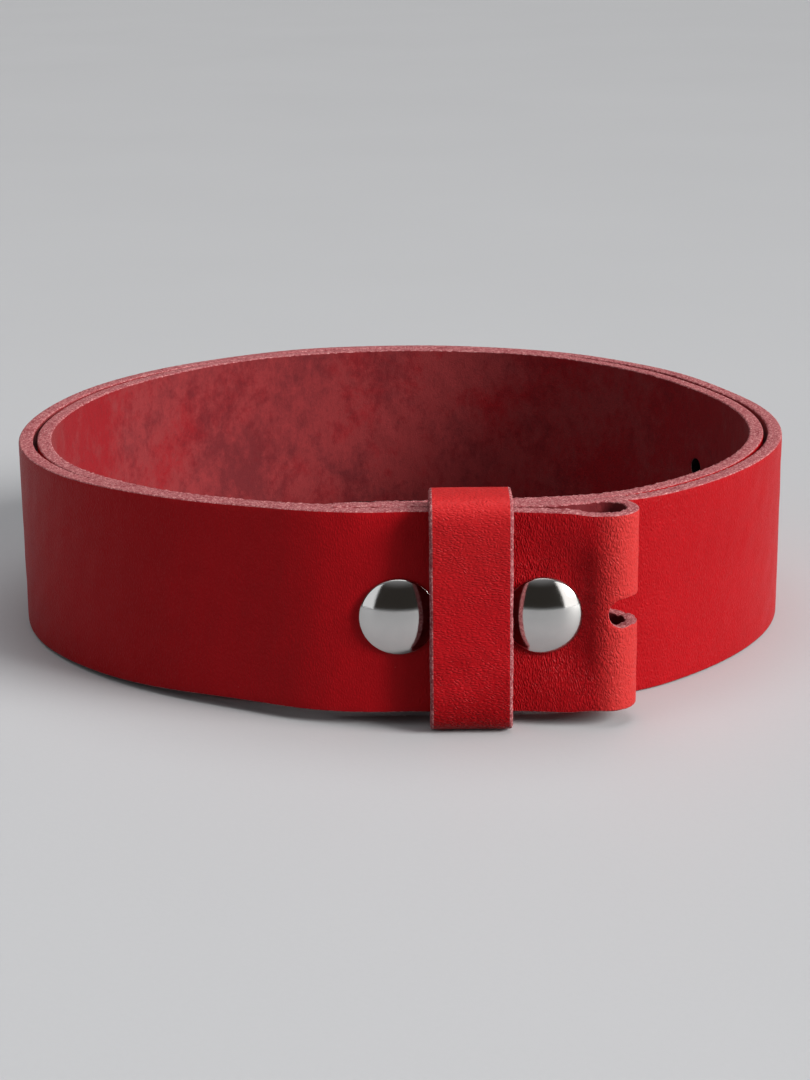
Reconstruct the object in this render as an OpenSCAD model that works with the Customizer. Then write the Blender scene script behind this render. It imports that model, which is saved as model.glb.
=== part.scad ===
// Belt strap for a removable buckle, coiled in two turns, with its keeper loop and two snap fasteners.
// +X right, +Y from the folded end towards the back of the coil, +Z up; the strap stands on edge.

/* [Strap] */
// Width of the strap
strap_w = 40; // [30:0.5:50]
// Thickness of the leather
strap_t = 3; // [2.6:0.1:3.4]
// Thickness of the leather where it is skived for the fold
fold_t = 2.4; // [2:0.1:2.6]
// How much each edge is trimmed at the fold
fold_trim = 0.5; // [0:0.1:1]
// Reach of the folded end to the right of the coil's centre
fold_reach = 44.2; // [43.5:0.1:48]
// Outer radius of the fold
fold_r = 6.15; // [5.8:0.05:6.6]
// How far the fold bulges in front of the front face
fold_bulge = 2; // [1.2:0.1:2.4]
// Width of the slot for the buckle's prong
slot_w = 5.8; // [4.5:0.1:8]
// Length of the slot on the front face, from the fold's edge
slot_len = 6.1; // [4:0.1:8]
// How far the folded tail runs on past the left snap
tail_past = 12.1; // [10:0.1:16]

/* [Coil] */
// Outer radius of the coil
coil_r = 82.5; // [80:0.5:90]
// Smallest gap between two turns
turn_gap = 0.3; // [0.3:0.05:0.6]
// Extra gap between the turns at the left and right
side_gap = 0.7; // [0:0.05:1]
// How far the turns are pressed in behind the folded end
press_in = 6.8; // [6.6:0.1:9]
// How far the coil swells out at the left
left_swell = 2.4; // [0:0.1:3]
// How far the coil swells out at the right
right_swell = 1.1; // [0:0.1:2]
// How far the coil is flattened at the back on the right
back_dent = 2.1; // [0:0.1:3]
// Height of the front above the table, carried by the keeper
front_lift = 2.7; // [2.5:0.1:4]
// How far the front face stands outside the coil's circle
front_out = 3.3; // [2.6:0.1:4.5]
// Angle wound from the front to the tip
tip_angle = 735; // [715:1:745]
// Length of the round point at the tip
tip_point = 14; // [8:1:20]

/* [Adjustment holes] */
// Number of adjustment holes
hole_n = 5; // [3:1:6]
// Distance between two holes
hole_pitch = 25; // [20:1:26]
// Radius of a hole
hole_r = 2.3; // [1.5:0.1:2.8]
// Angle wound to the hole that is farthest from the tip
hole_angle = 609; // [606:1:610]
// How far the line of holes lies above the strap's middle
hole_rise = 1.2; // [0:0.1:2]

/* [Snaps] */
// Distance of the right snap from the folded edge
snap_inset = 18.2; // [18:0.1:19]
// Distance between the two snaps
snap_pitch = 27.3; // [26.5:0.1:28]
// How far the snaps lie below the strap's middle
snap_drop = 0.6; // [0:0.1:2]
// Radius of the cap
cap_r = 7.6; // [7:0.1:7.8]
// Height of the cap's dome
cap_h = 2.2; // [1.6:0.1:2.6]
// Radius of the cap's shank
shank_r = 1.85; // [1.6:0.05:2]
// Radius of the socket
socket_r = 6.3; // [5.6:0.1:6.6]
// Height of the socket
socket_h = 2.2; // [2:0.05:2.3]
// Radius of the stud's flange
stud_r = 4.8; // [4.4:0.1:5]
// Radius of the stud's head
stud_head_r = 2.95; // [2.8:0.05:3]
// Radius of the socket spring's wire
spring_wire_r = 0.22; // [0.18:0.01:0.24]
// Radius of the rear post's flange
post_r = 5.2; // [4.6:0.1:6]
// Thickness of the rear post's flange
post_h = 0.7; // [0.5:0.05:0.8]
// Gap between the two leather layers at the snaps
layer_gap = 0.4; // [0.3:0.05:0.5]

/* [Keeper] */
// Width of the keeper
keeper_w = 15.6; // [12:0.1:18]
// Thickness of the keeper's leather
keeper_t = 2.2; // [1.8:0.1:2.4]
// Room in the keeper for the strap's tip, in front of the front face
keeper_room = 3.4; // [3.2:0.1:4.2]
// Play of the keeper behind the rear posts
keeper_play = 0.3; // [0.2:0.05:0.4]
// Room above the strap inside the keeper
keeper_head = 0.5; // [0.3:0.1:1.5]
// Outer corner radius of the keeper
keeper_corner = 2.8; // [2.4:0.1:3.4]
// Width of a staple, across the keeper's joint
staple_len = 7; // [5:0.5:10]
// Distance between the two staples
staple_pitch = 8; // [6:0.5:10]

/* [Hidden] */
$fn = 64;

leather_red = [0.72, 0.07, 0.09];
nickel = [0.78, 0.78, 0.76];
brass_tone = [0.72, 0.62, 0.38];
steel_tone = [0.62, 0.63, 0.65];

// Small distances that cut tools run past the faces they cut.
over = 1;
slip = 0.05;

// ---- Plan of the strap: the mid-line of the leather, seen from above, about the coil's centre.
half_t = strap_t / 2;
skive = strap_t - fold_t;
mid_r = coil_r - half_t;

// Winding angles: 0 at the front, growing to the left, the back and the right.
join_angle = 28;      // the front end runs into the round coil
front_angle = 60;     // seam between strap_front and strap_coil
root_angle = 592;     // seam between strap_coil and strap_punched
punched_angle = 692;  // seam between strap_punched and strap_tip
angle_step = 3;
seam_gap = 0.1;       // left open at each seam, measured along the strap

front_y = -(coil_r + front_out);
a_y = front_y + half_t;
b_y = a_y + strap_t + layer_gap;
left_snap_x = fold_reach - snap_inset - snap_pitch;
keeper_x = left_snap_x + snap_pitch / 2;
tail_reach = tail_past - left_snap_x;

function smooth(t) = let (c = min(1, max(0, t))) c * c * (3 - 2 * c);

// The turns are pressed in behind the fold: from 320 degrees to 353, and back out by 400.
function pressed(u) = let (v = u > 540 ? u - 360 : u)
    smooth((v - 320) / 33) * (1 - smooth((v - 363) / 37));
// From 363 degrees on, the strap runs inside its first turn, and its tip starts on a third.
function nested(u) = (smooth((u - 363) / 37) + smooth((u - 723) / 37))
    * (strap_t + turn_gap + side_gap * pow(sin(u), 2));
// The coil isn't quite round: it swells at 70 and 282 degrees and is flatter at 245.
function bell(t) = smooth(1 - abs(t));
function swelling(u) = let (v = u % 360) left_swell * bell((v - 70) / 42)
    - back_dent * bell((v - 245) / 50) + right_swell * bell((v - 282) / 40);
function wound_r(u) = mid_r + swelling(u) - press_in * pressed(u) - nested(u);
function wound(u) = wound_r(u) * [-sin(u), -cos(u)];
// Unit vector across the leather, from the flesh side to the grain side.
function wound_out(u) = unit(turn_right(wound(u - 0.5) - wound(u + 0.5)));
function unit(v) = v / norm(v);
function turn_right(v) = [v[1], -v[0]];
function turn_left(v) = [-v[1], v[0]];

// Height of the lower edge: the front is lifted and the rise dies away towards the left.
function lift(u) = front_lift * (1 - sin(min(90, max(0, u))));

// One ring of the strap: grain-side point, flesh-side point, lower and upper height.
function ring(p, out, z, thin = 0, trim = 0) =
    [p + out * half_t, p - out * (half_t - thin), z + trim, z + strap_w - trim];
function wound_ring(u, z) = ring(wound(u), wound_out(u), z);

// ---- Front end: the fold, its two layers and the bend into the coil.
fold_mid_r = fold_r - half_t;
fold_c = [fold_reach - fold_r, front_y - fold_bulge + fold_r];
front_drop = a_y - (fold_c[1] - fold_mid_r);
front_flare_r = 12;
front_flare = acos(1 - front_drop / (front_flare_r + fold_mid_r));
front_flare_x = fold_c[0] - (front_flare_r + fold_mid_r) * sin(front_flare);
tail_rise = fold_c[1] + fold_mid_r - b_y;
tail_flare_r = 5;
tail_flare = acos(1 - tail_rise / (tail_flare_r + fold_mid_r));
tail_flare_x = fold_c[0] - (tail_flare_r + fold_mid_r) * sin(tail_flare);
bend_r = 43.5;
bend_run = (-mid_r * cos(join_angle) - a_y - bend_r * (1 - cos(join_angle))) / sin(join_angle);
bend_x = -mid_r * sin(join_angle) + bend_run * cos(join_angle) + bend_r * sin(join_angle);

function along_x(x) = lift(atan2(-x, -a_y));
function flat_ring(x, y, side) = ring([x, y], [0, side], along_x(x));

// The tail, from its end to the flare, with the grain side to the back.
tail_rings = [for (x = [-tail_reach, -9, -4, 4, 12, 20, tail_flare_x]) flat_ring(x, b_y, 1)];
// The tail swings back, goes round the fold and returns to the front layer.
tail_flare_rings = [for (a = [0.2 : 0.2 : 1]) let (g = a * tail_flare)
    ring([tail_flare_x + tail_flare_r * sin(g), b_y + tail_flare_r * (1 - cos(g))],
        [-sin(g), cos(g)], front_lift, skive * smooth(a), fold_trim * smooth(a))];
fold_sweep = 180 + tail_flare + front_flare;
fold_rings = [for (a = [1 : 1 : 27]) let (g = 90 + tail_flare - fold_sweep * a / 28)
    ring(fold_c + fold_mid_r * [cos(g), sin(g)], [cos(g), sin(g)], front_lift, skive, fold_trim)];
front_flare_rings = [for (a = [0 : 0.2 : 1]) let (g = (1 - a) * front_flare)
    ring([front_flare_x + front_flare_r * sin(g), a_y - front_flare_r * (1 - cos(g))],
        [-sin(g), -cos(g)], front_lift, skive * smooth(1 - a), fold_trim * smooth(1 - a))];
// The front layer runs left to the bend, round it, and straight on into the coil.
front_rings = [for (x = [26, 20, 12, 4]) flat_ring(x, a_y, -1)];
bend_rings = [for (a = [0 : 0.125 : 1]) let (g = a * join_angle,
        p = [bend_x - bend_r * sin(g), a_y + bend_r * (1 - cos(g))])
    ring(p, [-sin(g), -cos(g)], lift(atan2(-p[0], -p[1])))];
run_rings = [for (a = [0.25 : 0.25 : 0.75]) let (
        p = [bend_x - bend_r * sin(join_angle), a_y + bend_r * (1 - cos(join_angle))]
            + a * bend_run * [-cos(join_angle), sin(join_angle)])
    ring(p, [-sin(join_angle), -cos(join_angle)], lift(atan2(-p[0], -p[1])))];
seam_angle = seam_gap / mid_r * 180 / PI;
join_rings = [for (u = [join_angle : 2 : front_angle - 1]) wound_ring(u, lift(u))];
seam_ring = wound_ring(front_angle - seam_angle, lift(front_angle));

// The tip, whose point is cut round: it narrows over its last stretch.
tip_span = tip_point / wound_r(tip_angle) * 180 / PI;
function point_trim(u) = let (t = max(0, (u - (tip_angle - tip_span)) / tip_span))
    strap_w / 2 * (1 - sqrt(max(0.02, 1 - t * t)));

// A band of leather through a list of rings.
module band(rings) {
    n = len(rings);
    points = [for (r = rings) each [[r[0][0], r[0][1], r[2]], [r[1][0], r[1][1], r[2]],
        [r[1][0], r[1][1], r[3]], [r[0][0], r[0][1], r[3]]]];
    sides = [for (i = [0 : n - 2], k = [0 : 3]) let (a = 4 * i + k, b = 4 * i + (k + 1) % 4)
        each [[a, b, b + 4], [a, b + 4, a + 4]]];
    ends = [[3, 2, 1], [3, 1, 0], [4 * n - 4, 4 * n - 3, 4 * n - 2], [4 * n - 4, 4 * n - 2, 4 * n - 1]];
    polyhedron(points, concat(sides, ends));
}

// The whole model is drawn about the coil's centre and moved to the middle of its outline.
keeper_front = front_y - keeper_room - keeper_t;
centre_y = (keeper_front + coil_r) / 2;
sides_x = [for (u = [front_angle : angle_step : 360]) (wound(u) + wound_out(u) * half_t)[0]];
centre_x = (min(sides_x) + max(sides_x)) / 2;
module placed() { translate([-centre_x, -centre_y, 0]) children(); }

// ---- Snaps: each is drawn about its own axis, with +Z pointing out of the front face.
snap_z = front_lift + strap_w / 2;
cap_seat = 1;                      // leather left between cap and socket
socket_top = -cap_seat;            // the socket's plate, measured from the front face
socket_face = socket_top - socket_h;
stud_face = -(strap_t + layer_gap);
stud_seat = 0.8;                   // depth the stud's flange sinks into the tail
stud_flange_t = 0.6;
plate_t = 0.6;
lip_t = 0.3;
head_tip = -(cap_seat + plate_t + 0.4);   // clear of the cap's clinched shank
head_h = 0.38;
neck_r = stud_head_r - 0.3;
post_face = -(2 * strap_t + layer_gap);
post_shank_r = 1.45;

module at_snap(side) {
    x = left_snap_x + (side == "right" ? snap_pitch : 0);
    placed() translate([x, front_y, snap_z - snap_drop]) rotate([90, 0, 0]) children();
}

// Room for one snap in the two leather layers.
module snap_cut() {
    cylinder(r = cap_r + slip, h = 4);
    translate([0, 0, socket_top - over]) cylinder(r = shank_r + slip, h = cap_seat + 2 * over);
    translate([0, 0, stud_face - 0.01]) cylinder(r = socket_r + 0.15, h = socket_top - stud_face + 0.01);
    translate([0, 0, stud_face - stud_seat]) cylinder(r = stud_r + 0.15, h = stud_seat + 0.02);
    translate([0, 0, post_face - over]) cylinder(r = post_shank_r + slip, h = strap_t + 2 * over);
    translate([0, 0, post_face - 4]) cylinder(r = post_r + slip, h = 4);
}

module cap(side) {
    dome_r = (cap_r * cap_r + cap_h * cap_h) / (2 * cap_h);
    edge_h = 0.5;
    color(nickel) at_snap(side) {
        intersection() {
            translate([0, 0, cap_h - dome_r - 0.25]) sphere(r = dome_r, $fn = 96);
            cylinder(r = cap_r - 0.15, h = cap_h);
        }
        cylinder(r = cap_r, h = edge_h);
        translate([0, 0, socket_top - plate_t - slip]) cylinder(r = shank_r, h = cap_seat + plate_t + slip);
        translate([0, 0, head_tip + slip])
            cylinder(r = shank_r + 0.5, h = 0.4 - 2 * slip);
    }
}

module socket(side) {
    bore_r = stud_head_r + 0.1;
    cave_r = stud_head_r + 0.45;
    color(brass_tone) at_snap(side) rotate_extrude() {
        translate([shank_r + slip, socket_top - plate_t]) square([socket_r - shank_r - slip, plate_t]);
        translate([cave_r, socket_face]) square([socket_r - cave_r, socket_h]);
        translate([bore_r, socket_face]) square([cave_r - bore_r + 0.1, lip_t]);
    }
}

module spring(side) {
    color(steel_tone) at_snap(side)
        translate([0, 0, head_tip - head_h - spring_wire_r - 0.03])
            rotate([0, 0, 20]) rotate_extrude(angle = 320)
                translate([neck_r + spring_wire_r + 0.04, 0]) circle(r = spring_wire_r, $fn = 24);
}

module stud(side) {
    color(brass_tone) at_snap(side) rotate_extrude() {
        translate([post_shank_r + slip, stud_face - stud_seat])
            square([stud_r - post_shank_r - slip, stud_flange_t]);
        translate([post_shank_r + slip, stud_face - stud_seat])
            square([neck_r - post_shank_r - slip, head_tip - stud_face + stud_seat - 0.02]);
        translate([post_shank_r + slip, head_tip - head_h])
            square([stud_head_r - post_shank_r - slip, head_h - 0.02]);
    }
}

module post(side) {
    crown_t = 0.35;
    color(nickel) at_snap(side) {
        translate([0, 0, post_face - post_h]) cylinder(r1 = post_r - 0.3, r2 = post_r, h = post_h);
        translate([0, 0, post_face - over / 4])
            cylinder(r = post_shank_r, h = head_tip - post_face - crown_t + over / 4);
    }
}

// ---- Strap
module snap_holes() {
    at_snap("left") snap_cut();
    at_snap("right") snap_cut();
}

// Room for a buckle's bar in the fold, and the slot for its prong.
module bar_room() {
    placed() translate([fold_c[0], fold_c[1], front_lift - over])
        cylinder(r = fold_r - fold_t, h = strap_w + 2 * over);
}

module prong_slot() {
    slot_x = fold_reach - slot_len + slot_w / 2;
    placed() translate([slot_x, front_y - 2 * fold_r, snap_z]) rotate([-90, 0, 0]) {
        cylinder(r = slot_w / 2, h = 5 * fold_r);
        translate([0, -slot_w / 2, 0]) cube([2 * fold_r, slot_w, 5 * fold_r]);
    }
}

module strap_front() {
    color(leather_red) difference() {
        placed() band(concat(tail_rings, tail_flare_rings, fold_rings, front_flare_rings,
            front_rings, bend_rings, run_rings, join_rings, [seam_ring]));
        snap_holes();
        bar_room();
        prong_slot();
    }
}

module strap_coil() {
    rings = concat([wound_ring(front_angle, lift(front_angle))],
        [for (u = [front_angle + angle_step : angle_step : root_angle - angle_step]) wound_ring(u, lift(u))],
        [wound_ring(root_angle, 0)]);
    color(leather_red) placed() band(rings);
}

module adjustment_holes() {
    for (i = [0 : hole_n - 1]) {
        u = hole_angle + i * hole_pitch / wound_r(hole_angle) * 180 / PI;
        p = wound(u);
        placed() translate([p[0], p[1], strap_w / 2 + hole_rise])
            rotate([0, 0, atan2(wound_out(u)[1], wound_out(u)[0])]) rotate([0, 90, 0])
                cylinder(r = hole_r, h = 3 * strap_t, center = true);
    }
}

// The punched stretch with the adjustment holes.
module strap_punched() {
    winds = concat([root_angle + seam_angle],
        [for (u = [root_angle + angle_step : angle_step : punched_angle - 1]) u],
        [punched_angle - seam_angle]);
    color(leather_red) difference() {
        placed() band([for (u = winds) wound_ring(u, 0)]);
        adjustment_holes();
    }
}

// The pointed end, which hangs free behind the folded end.
module strap_tip() {
    point_start = tip_angle - tip_span;
    winds = concat([for (u = [punched_angle : angle_step : point_start - 1]) u],
        [for (t = [0, 0.35, 0.6, 0.78, 0.9, 0.97, 1]) point_start + t * tip_span]);
    color(leather_red) placed()
        band([for (u = winds) ring(wound(u), wound_out(u), 0, 0, point_trim(u))]);
}

// ---- Keeper
keeper_back = b_y + half_t + post_h + keeper_play + keeper_t;
keeper_d = keeper_back - keeper_front;
keeper_h = front_lift + strap_w + keeper_head + keeper_t;
butt_gap = 0.2;
staple_wire = 0.5;
staple_wide = 1.2;

module round_rect(w, h, r) {
    translate([r, 0]) square([w - 2 * r, h]);
    translate([0, r]) square([w, h - 2 * r]);
    for (x = [r, w - r], y = [r, h - r]) translate([x, y]) circle(r = r);
}

// The keeper's own frame: width along X, depth along Y from its front, height along Z.
module at_keeper() { placed() translate([keeper_x, keeper_front, 0]) children(); }

module staples(grow = 0) {
    for (x = [-1, 1] * staple_pitch / 2)
        translate([x - staple_wide / 2 - grow, keeper_d, keeper_h / 2 - staple_len / 2 - grow]) {
            translate([0, -staple_wire, 0])
                cube([staple_wide + 2 * grow, staple_wire + grow, staple_len + 2 * grow]);
            for (z = [0, staple_len - staple_wire])
                translate([0, -keeper_t - grow, z])
                    cube([staple_wide + 2 * grow, keeper_t, staple_wire + 2 * grow]);
            for (z = [0, staple_len / 2 + 0.3])
                translate([0, -keeper_t - grow, z])
                    cube([staple_wide + 2 * grow, staple_wire + grow, staple_len / 2 - 0.3 + 2 * grow]);
        }
}

module keeper() {
    color([0.76, 0.13, 0.14]) at_keeper() difference() {
        translate([-keeper_w / 2, 0, 0]) rotate([90, 0, 90]) linear_extrude(keeper_w) difference() {
            round_rect(keeper_d, keeper_h, keeper_corner);
            translate([keeper_t, keeper_t]) round_rect(keeper_d - 2 * keeper_t,
                keeper_h - 2 * keeper_t, keeper_corner - keeper_t);
        }
        translate([-keeper_w, keeper_d - keeper_t - over, keeper_h / 2 - butt_gap / 2])
            cube([2 * keeper_w, keeper_t + 2 * over, butt_gap]);
        staples(slip);
    }
}

module keeper_staples() {
    color(steel_tone) at_keeper() staples();
}

strap_front();
strap_coil();
strap_punched();
strap_tip();
keeper();
keeper_staples();
cap("left");  // left_cap
cap("right");  // right_cap
socket("left");  // left_socket
socket("right");  // right_socket
spring("left");  // left_spring
spring("right");  // right_spring
stud("left");  // left_stud
stud("right");  // right_stud
post("left");  // left_post
post("right");  // right_post
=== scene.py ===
import math
import types

import bpy
import numpy as np
from bpy.props import FloatProperty, FloatVectorProperty, IntProperty, PointerProperty
from bpy.types import Operator, Panel, PropertyGroup
from mathutils import Matrix, Vector


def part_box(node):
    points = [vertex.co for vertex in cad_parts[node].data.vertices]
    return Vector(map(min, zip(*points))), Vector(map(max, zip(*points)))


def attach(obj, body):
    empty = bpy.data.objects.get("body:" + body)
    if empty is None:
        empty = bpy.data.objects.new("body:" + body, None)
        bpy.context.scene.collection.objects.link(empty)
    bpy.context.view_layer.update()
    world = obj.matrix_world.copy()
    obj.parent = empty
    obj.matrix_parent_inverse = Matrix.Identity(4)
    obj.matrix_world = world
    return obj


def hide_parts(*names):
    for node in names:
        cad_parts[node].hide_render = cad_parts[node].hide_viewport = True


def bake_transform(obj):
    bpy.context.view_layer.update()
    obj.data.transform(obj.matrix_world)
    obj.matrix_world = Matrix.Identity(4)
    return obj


bl_info = {
    "name": "Coiled belt strap",
    "version": (1, 0, 0),
    "blender": (4, 5, 0),
    "location": "View3D > Sidebar > Belt strap",
    "description": "A coiled leather belt strap with its keeper loop and snap fasteners",
    "category": "Add Mesh",
}

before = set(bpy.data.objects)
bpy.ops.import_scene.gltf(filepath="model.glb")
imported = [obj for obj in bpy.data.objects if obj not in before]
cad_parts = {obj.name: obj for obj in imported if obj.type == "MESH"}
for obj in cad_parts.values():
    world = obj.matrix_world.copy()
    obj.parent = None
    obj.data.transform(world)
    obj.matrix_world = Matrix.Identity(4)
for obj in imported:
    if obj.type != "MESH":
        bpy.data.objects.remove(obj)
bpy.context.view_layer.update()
MM = 0.001


# ---- Sizes and colours ----------------------------------------------------------------------

def length_prop(name, millimetres, description):
    """A length with its default in metres."""
    return FloatProperty(name=name, description=description, default=millimetres * MM, min=0.0,
                         precision=5, unit="LENGTH")


def angle_prop(name, degrees, description):
    """An angle with its default in radians."""
    return FloatProperty(name=name, description=description, default=math.radians(degrees),
                         subtype="ANGLE")


def colour_prop(name, rgb, description):
    """A linear colour."""
    return FloatVectorProperty(name=name, description=description, default=rgb, size=3,
                               min=0.0, max=1.0, subtype="COLOR")


def share_prop(name, value, description):
    """A share from 0 to 1."""
    return FloatProperty(name=name, description=description, default=value, min=0.0, max=1.0,
                         subtype="FACTOR")


class StrapSizes(PropertyGroup):
    """Sizes of the strap, as the solid model has them."""
    width: length_prop("Width", 40, "Width of the strap")
    thickness: length_prop("Thickness", 3, "Thickness of the leather")
    fold_thickness: length_prop("Fold thickness", 2.4, "Thickness where it is skived for the fold")
    fold_trim: length_prop("Fold trim", 0.5, "How much each edge is trimmed at the fold")
    fold_reach: length_prop("Fold reach", 44.2, "Reach of the folded end from the coil's centre")
    fold_radius: length_prop("Fold radius", 6.15, "Outer radius of the fold")
    fold_bulge: length_prop("Fold bulge", 2, "How far the fold bulges in front of the front face")
    slot_width: length_prop("Slot width", 5.8, "Width of the slot for the buckle's prong")
    tail_past: length_prop("Tail", 12.1, "How far the folded tail runs on past the left snap")
    coil_radius: length_prop("Coil radius", 82.5, "Outer radius of the coil")
    turn_gap: length_prop("Turn gap", 0.3, "Smallest gap between two turns")
    side_gap: length_prop("Side gap", 0.7, "Extra gap between the turns at the left and right")
    press_in: length_prop("Press in", 6.8, "How far the turns are pressed in behind the fold")
    left_swell: length_prop("Left swell", 2.4, "How far the coil swells out at the left")
    right_swell: length_prop("Right swell", 1.1, "How far the coil swells out at the right")
    back_dent: length_prop("Back dent", 2.1, "How far the coil is flattened at the back on the right")
    front_lift: length_prop("Front lift", 2.7, "Height of the front above the table")
    front_out: length_prop("Front out", 3.3, "How far the front stands outside the coil's circle")
    layer_gap: length_prop("Layer gap", 0.4, "Gap between the two layers at the snaps")
    tip_angle: angle_prop("Tip angle", 735, "Angle wound from the front to the tip")
    tip_point: length_prop("Tip point", 14, "Length of the round point at the tip")
    hole_count: IntProperty(name="Holes", description="Number of adjustment holes", default=5, min=1)
    hole_pitch: length_prop("Hole pitch", 25, "Distance between two adjustment holes")
    hole_radius: length_prop("Hole radius", 2.3, "Radius of an adjustment hole")
    hole_rise: length_prop("Hole rise", 1.2, "How far the line of holes lies above the strap's middle")
    hole_angle: angle_prop("First hole", 609, "Angle wound to the first adjustment hole")


class FittingSizes(PropertyGroup):
    """Sizes of the snaps and the keeper."""
    snap_inset: length_prop("Snap inset", 18.2, "Distance of the right snap from the folded edge")
    snap_pitch: length_prop("Snap pitch", 27.3, "Distance between the two snaps")
    snap_drop: length_prop("Snap drop", 0.6, "How far the snaps lie below the strap's middle")
    cap_radius: length_prop("Cap radius", 7.58, "Radius of a snap's cap")
    cap_height: length_prop("Cap height", 2.9, "Height of a cap's dome")
    cap_dome: length_prop("Dome radius", 12.4, "Radius of the sphere that a cap's dome follows")
    cap_rim: length_prop("Rim radius", 0.8, "Radius of a cap's round shoulder")
    keeper_width: length_prop("Keeper width", 15.6, "Width of the keeper")
    keeper_thickness: length_prop("Keeper thickness", 2.2, "Thickness of the keeper's leather")
    keeper_bend: length_prop("Keeper bend", 2.5, "How softly the keeper bends round its corners")
    staple_length: length_prop("Staple length", 7, "Width of a staple, across the keeper's joint")
    staple_pitch: length_prop("Staple pitch", 8, "Distance between the two staples")


class Finishes(PropertyGroup):
    """Colours of the leather, the metal and the floor."""
    grain: colour_prop("Grain", (0.50, 0.005, 0.010), "Dyed grain side")
    # Paler than the strap's grain: partly its own leather, partly painted light that it catches standing
    # proud.
    keeper_grain_and_light: colour_prop("Keeper grain", (0.58, 0.009, 0.015), "Grain side of the keeper")
    grain_deep: colour_prop("Deep grain", (0.29, 0.0008, 0.003), "Grain side in pores and creases")
    flesh: colour_prop("Flesh side", (0.30, 0.034, 0.038), "Suede flesh side")
    flesh_stain: colour_prop("Flesh stain", (0.31, 0.005, 0.011), "Dye soaked into the flesh side")
    # Also painted as shade inside the fold.
    flesh_dark: colour_prop("Flesh shade", (0.13, 0.016, 0.021), "Brownish clouds on the flesh side")
    flesh_nap: colour_prop("Flesh nap", (0.46, 0.095, 0.095), "Pale tips of the nap")
    raw_edge: colour_prop("Cut edge", (0.39, 0.100, 0.110), "Raw cut edge")
    raw_speck: colour_prop("Edge specks", (0.74, 0.34, 0.34), "Pale fibres in the cut edge")
    raw_pit: colour_prop("Edge pits", (0.24, 0.035, 0.045), "Dark pits in the cut edge")
    nickel: colour_prop("Nickel", (0.56, 0.55, 0.54), "Polished nickel")
    brass: colour_prop("Brass", (0.60, 0.50, 0.32), "Plated brass")
    steel: colour_prop("Steel", (0.55, 0.55, 0.56), "Steel wire")
    floor: colour_prop("Floor", (0.56, 0.57, 0.59), "Floor")
    grain_gloss: share_prop("Grain roughness", 0.47, "Roughness of the grain side")


# ---- Node trees written as expressions ------------------------------------------------------

class Value:
    """A number that varies over a surface. Arithmetic on it adds Math nodes."""

    def __init__(self, tree, socket):
        self.tree = tree
        self.socket = socket

    def math(self, operation, *others, clamp=False):
        """One Math node on this value and the others."""
        inputs = dict(enumerate((self, *others)))
        return self.tree.add("ShaderNodeMath", {"operation": operation, "use_clamp": clamp},
                             inputs, 0)

    def __add__(self, other):
        return self.math("ADD", other)

    def __radd__(self, other):
        return self.math("ADD", other)

    def __sub__(self, other):
        return self.math("SUBTRACT", other)

    def __rsub__(self, other):
        return self.tree.add("ShaderNodeMath", {"operation": "SUBTRACT"}, {0: other, 1: self}, 0)

    def __mul__(self, other):
        return self.math("MULTIPLY", other)

    def __rmul__(self, other):
        return self.math("MULTIPLY", other)

    def abs(self):
        """The value without its sign."""
        return self.math("ABSOLUTE")

    def over(self, low, high):
        """0 below low, 1 above high, and smooth between them."""
        kind = {"interpolation_type": "SMOOTHSTEP"}
        return self.tree.add("ShaderNodeMapRange", kind, {0: self, 1: low, 2: high}, 0)


class Tree:
    """A node tree that is written from its shader backwards."""

    def __init__(self, node_tree):
        self.nodes = node_tree.nodes
        self.links = node_tree.links
        self.nodes.clear()

    def add(self, kind, settings=None, inputs=None, output=None):
        """One node: its settings first, then the values or links of its sockets. Gives back the
        output asked for, or the node itself."""
        node = self.nodes.new(kind)
        for name, value in (settings or {}).items():
            setattr(node, name, value)
        for key, value in (inputs or {}).items():
            self.put(self.find(node.inputs, key), value)
        if output is None:
            return node
        return Value(self, self.find(node.outputs, output))

    @staticmethod
    def find(sockets, key):
        """A socket by number, identifier or name."""
        if isinstance(key, int):
            return sockets[key]
        for socket in sockets:
            if socket.identifier == key:
                return socket
        return sockets[key]

    def put(self, socket, value):
        """Links a Value to a socket, or sets the socket's own number or colour."""
        if isinstance(value, Value):
            self.links.new(value.socket, socket)
        elif socket.type == "RGBA" and len(value) == 3:
            socket.default_value = (*value, 1.0)
        else:
            socket.default_value = value

    def mix(self, factor, first, second):
        """A colour between first and second."""
        inputs = {"Factor_Float": factor, "A_Color": first, "B_Color": second}
        return self.add("ShaderNodeMix", {"data_type": "RGBA"}, inputs, "Result_Color")

    def stretch(self, vector, scale, move=(0.0, 0.0, 0.0)):
        """A vector times scale plus move."""
        inputs = {0: vector, 1: scale, 2: move}
        return self.add("ShaderNodeVectorMath", {"operation": "MULTIPLY_ADD"}, inputs, 0)

    def noise(self, vector, per_metre, detail=2.0, roughness=0.5, distortion=0.0):
        """Smooth noise with that many features to a metre, about 0 to 1."""
        inputs = {"Vector": vector, "Scale": per_metre, "Detail": detail, "Roughness": roughness,
                  "Distortion": distortion}
        return self.add("ShaderNodeTexNoise", {}, inputs, "Fac")

    def cells(self, vector, per_metre, feature="F1"):
        """Distance within Voronoi cells, in cells."""
        inputs = {"Vector": vector, "Scale": per_metre}
        return self.add("ShaderNodeTexVoronoi", {"feature": feature}, inputs, "Distance")

    def bump(self, height, distance, strength=1.0):
        """A normal from a height of 0 to 1, which is distance metres high."""
        inputs = {"Height": height, "Distance": distance, "Strength": strength}
        return self.add("ShaderNodeBump", {}, inputs, "Normal")

    def attribute(self, name):
        """A piece's own attribute, as a vector."""
        settings = {"attribute_type": "GEOMETRY", "attribute_name": name}
        return self.add("ShaderNodeAttribute", settings, {}, "Vector")

    def parts(self, vector):
        """The three numbers of a vector."""
        node = self.add("ShaderNodeSeparateXYZ", {}, {0: vector})
        return [Value(self, node.outputs[i]) for i in range(3)]


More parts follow.
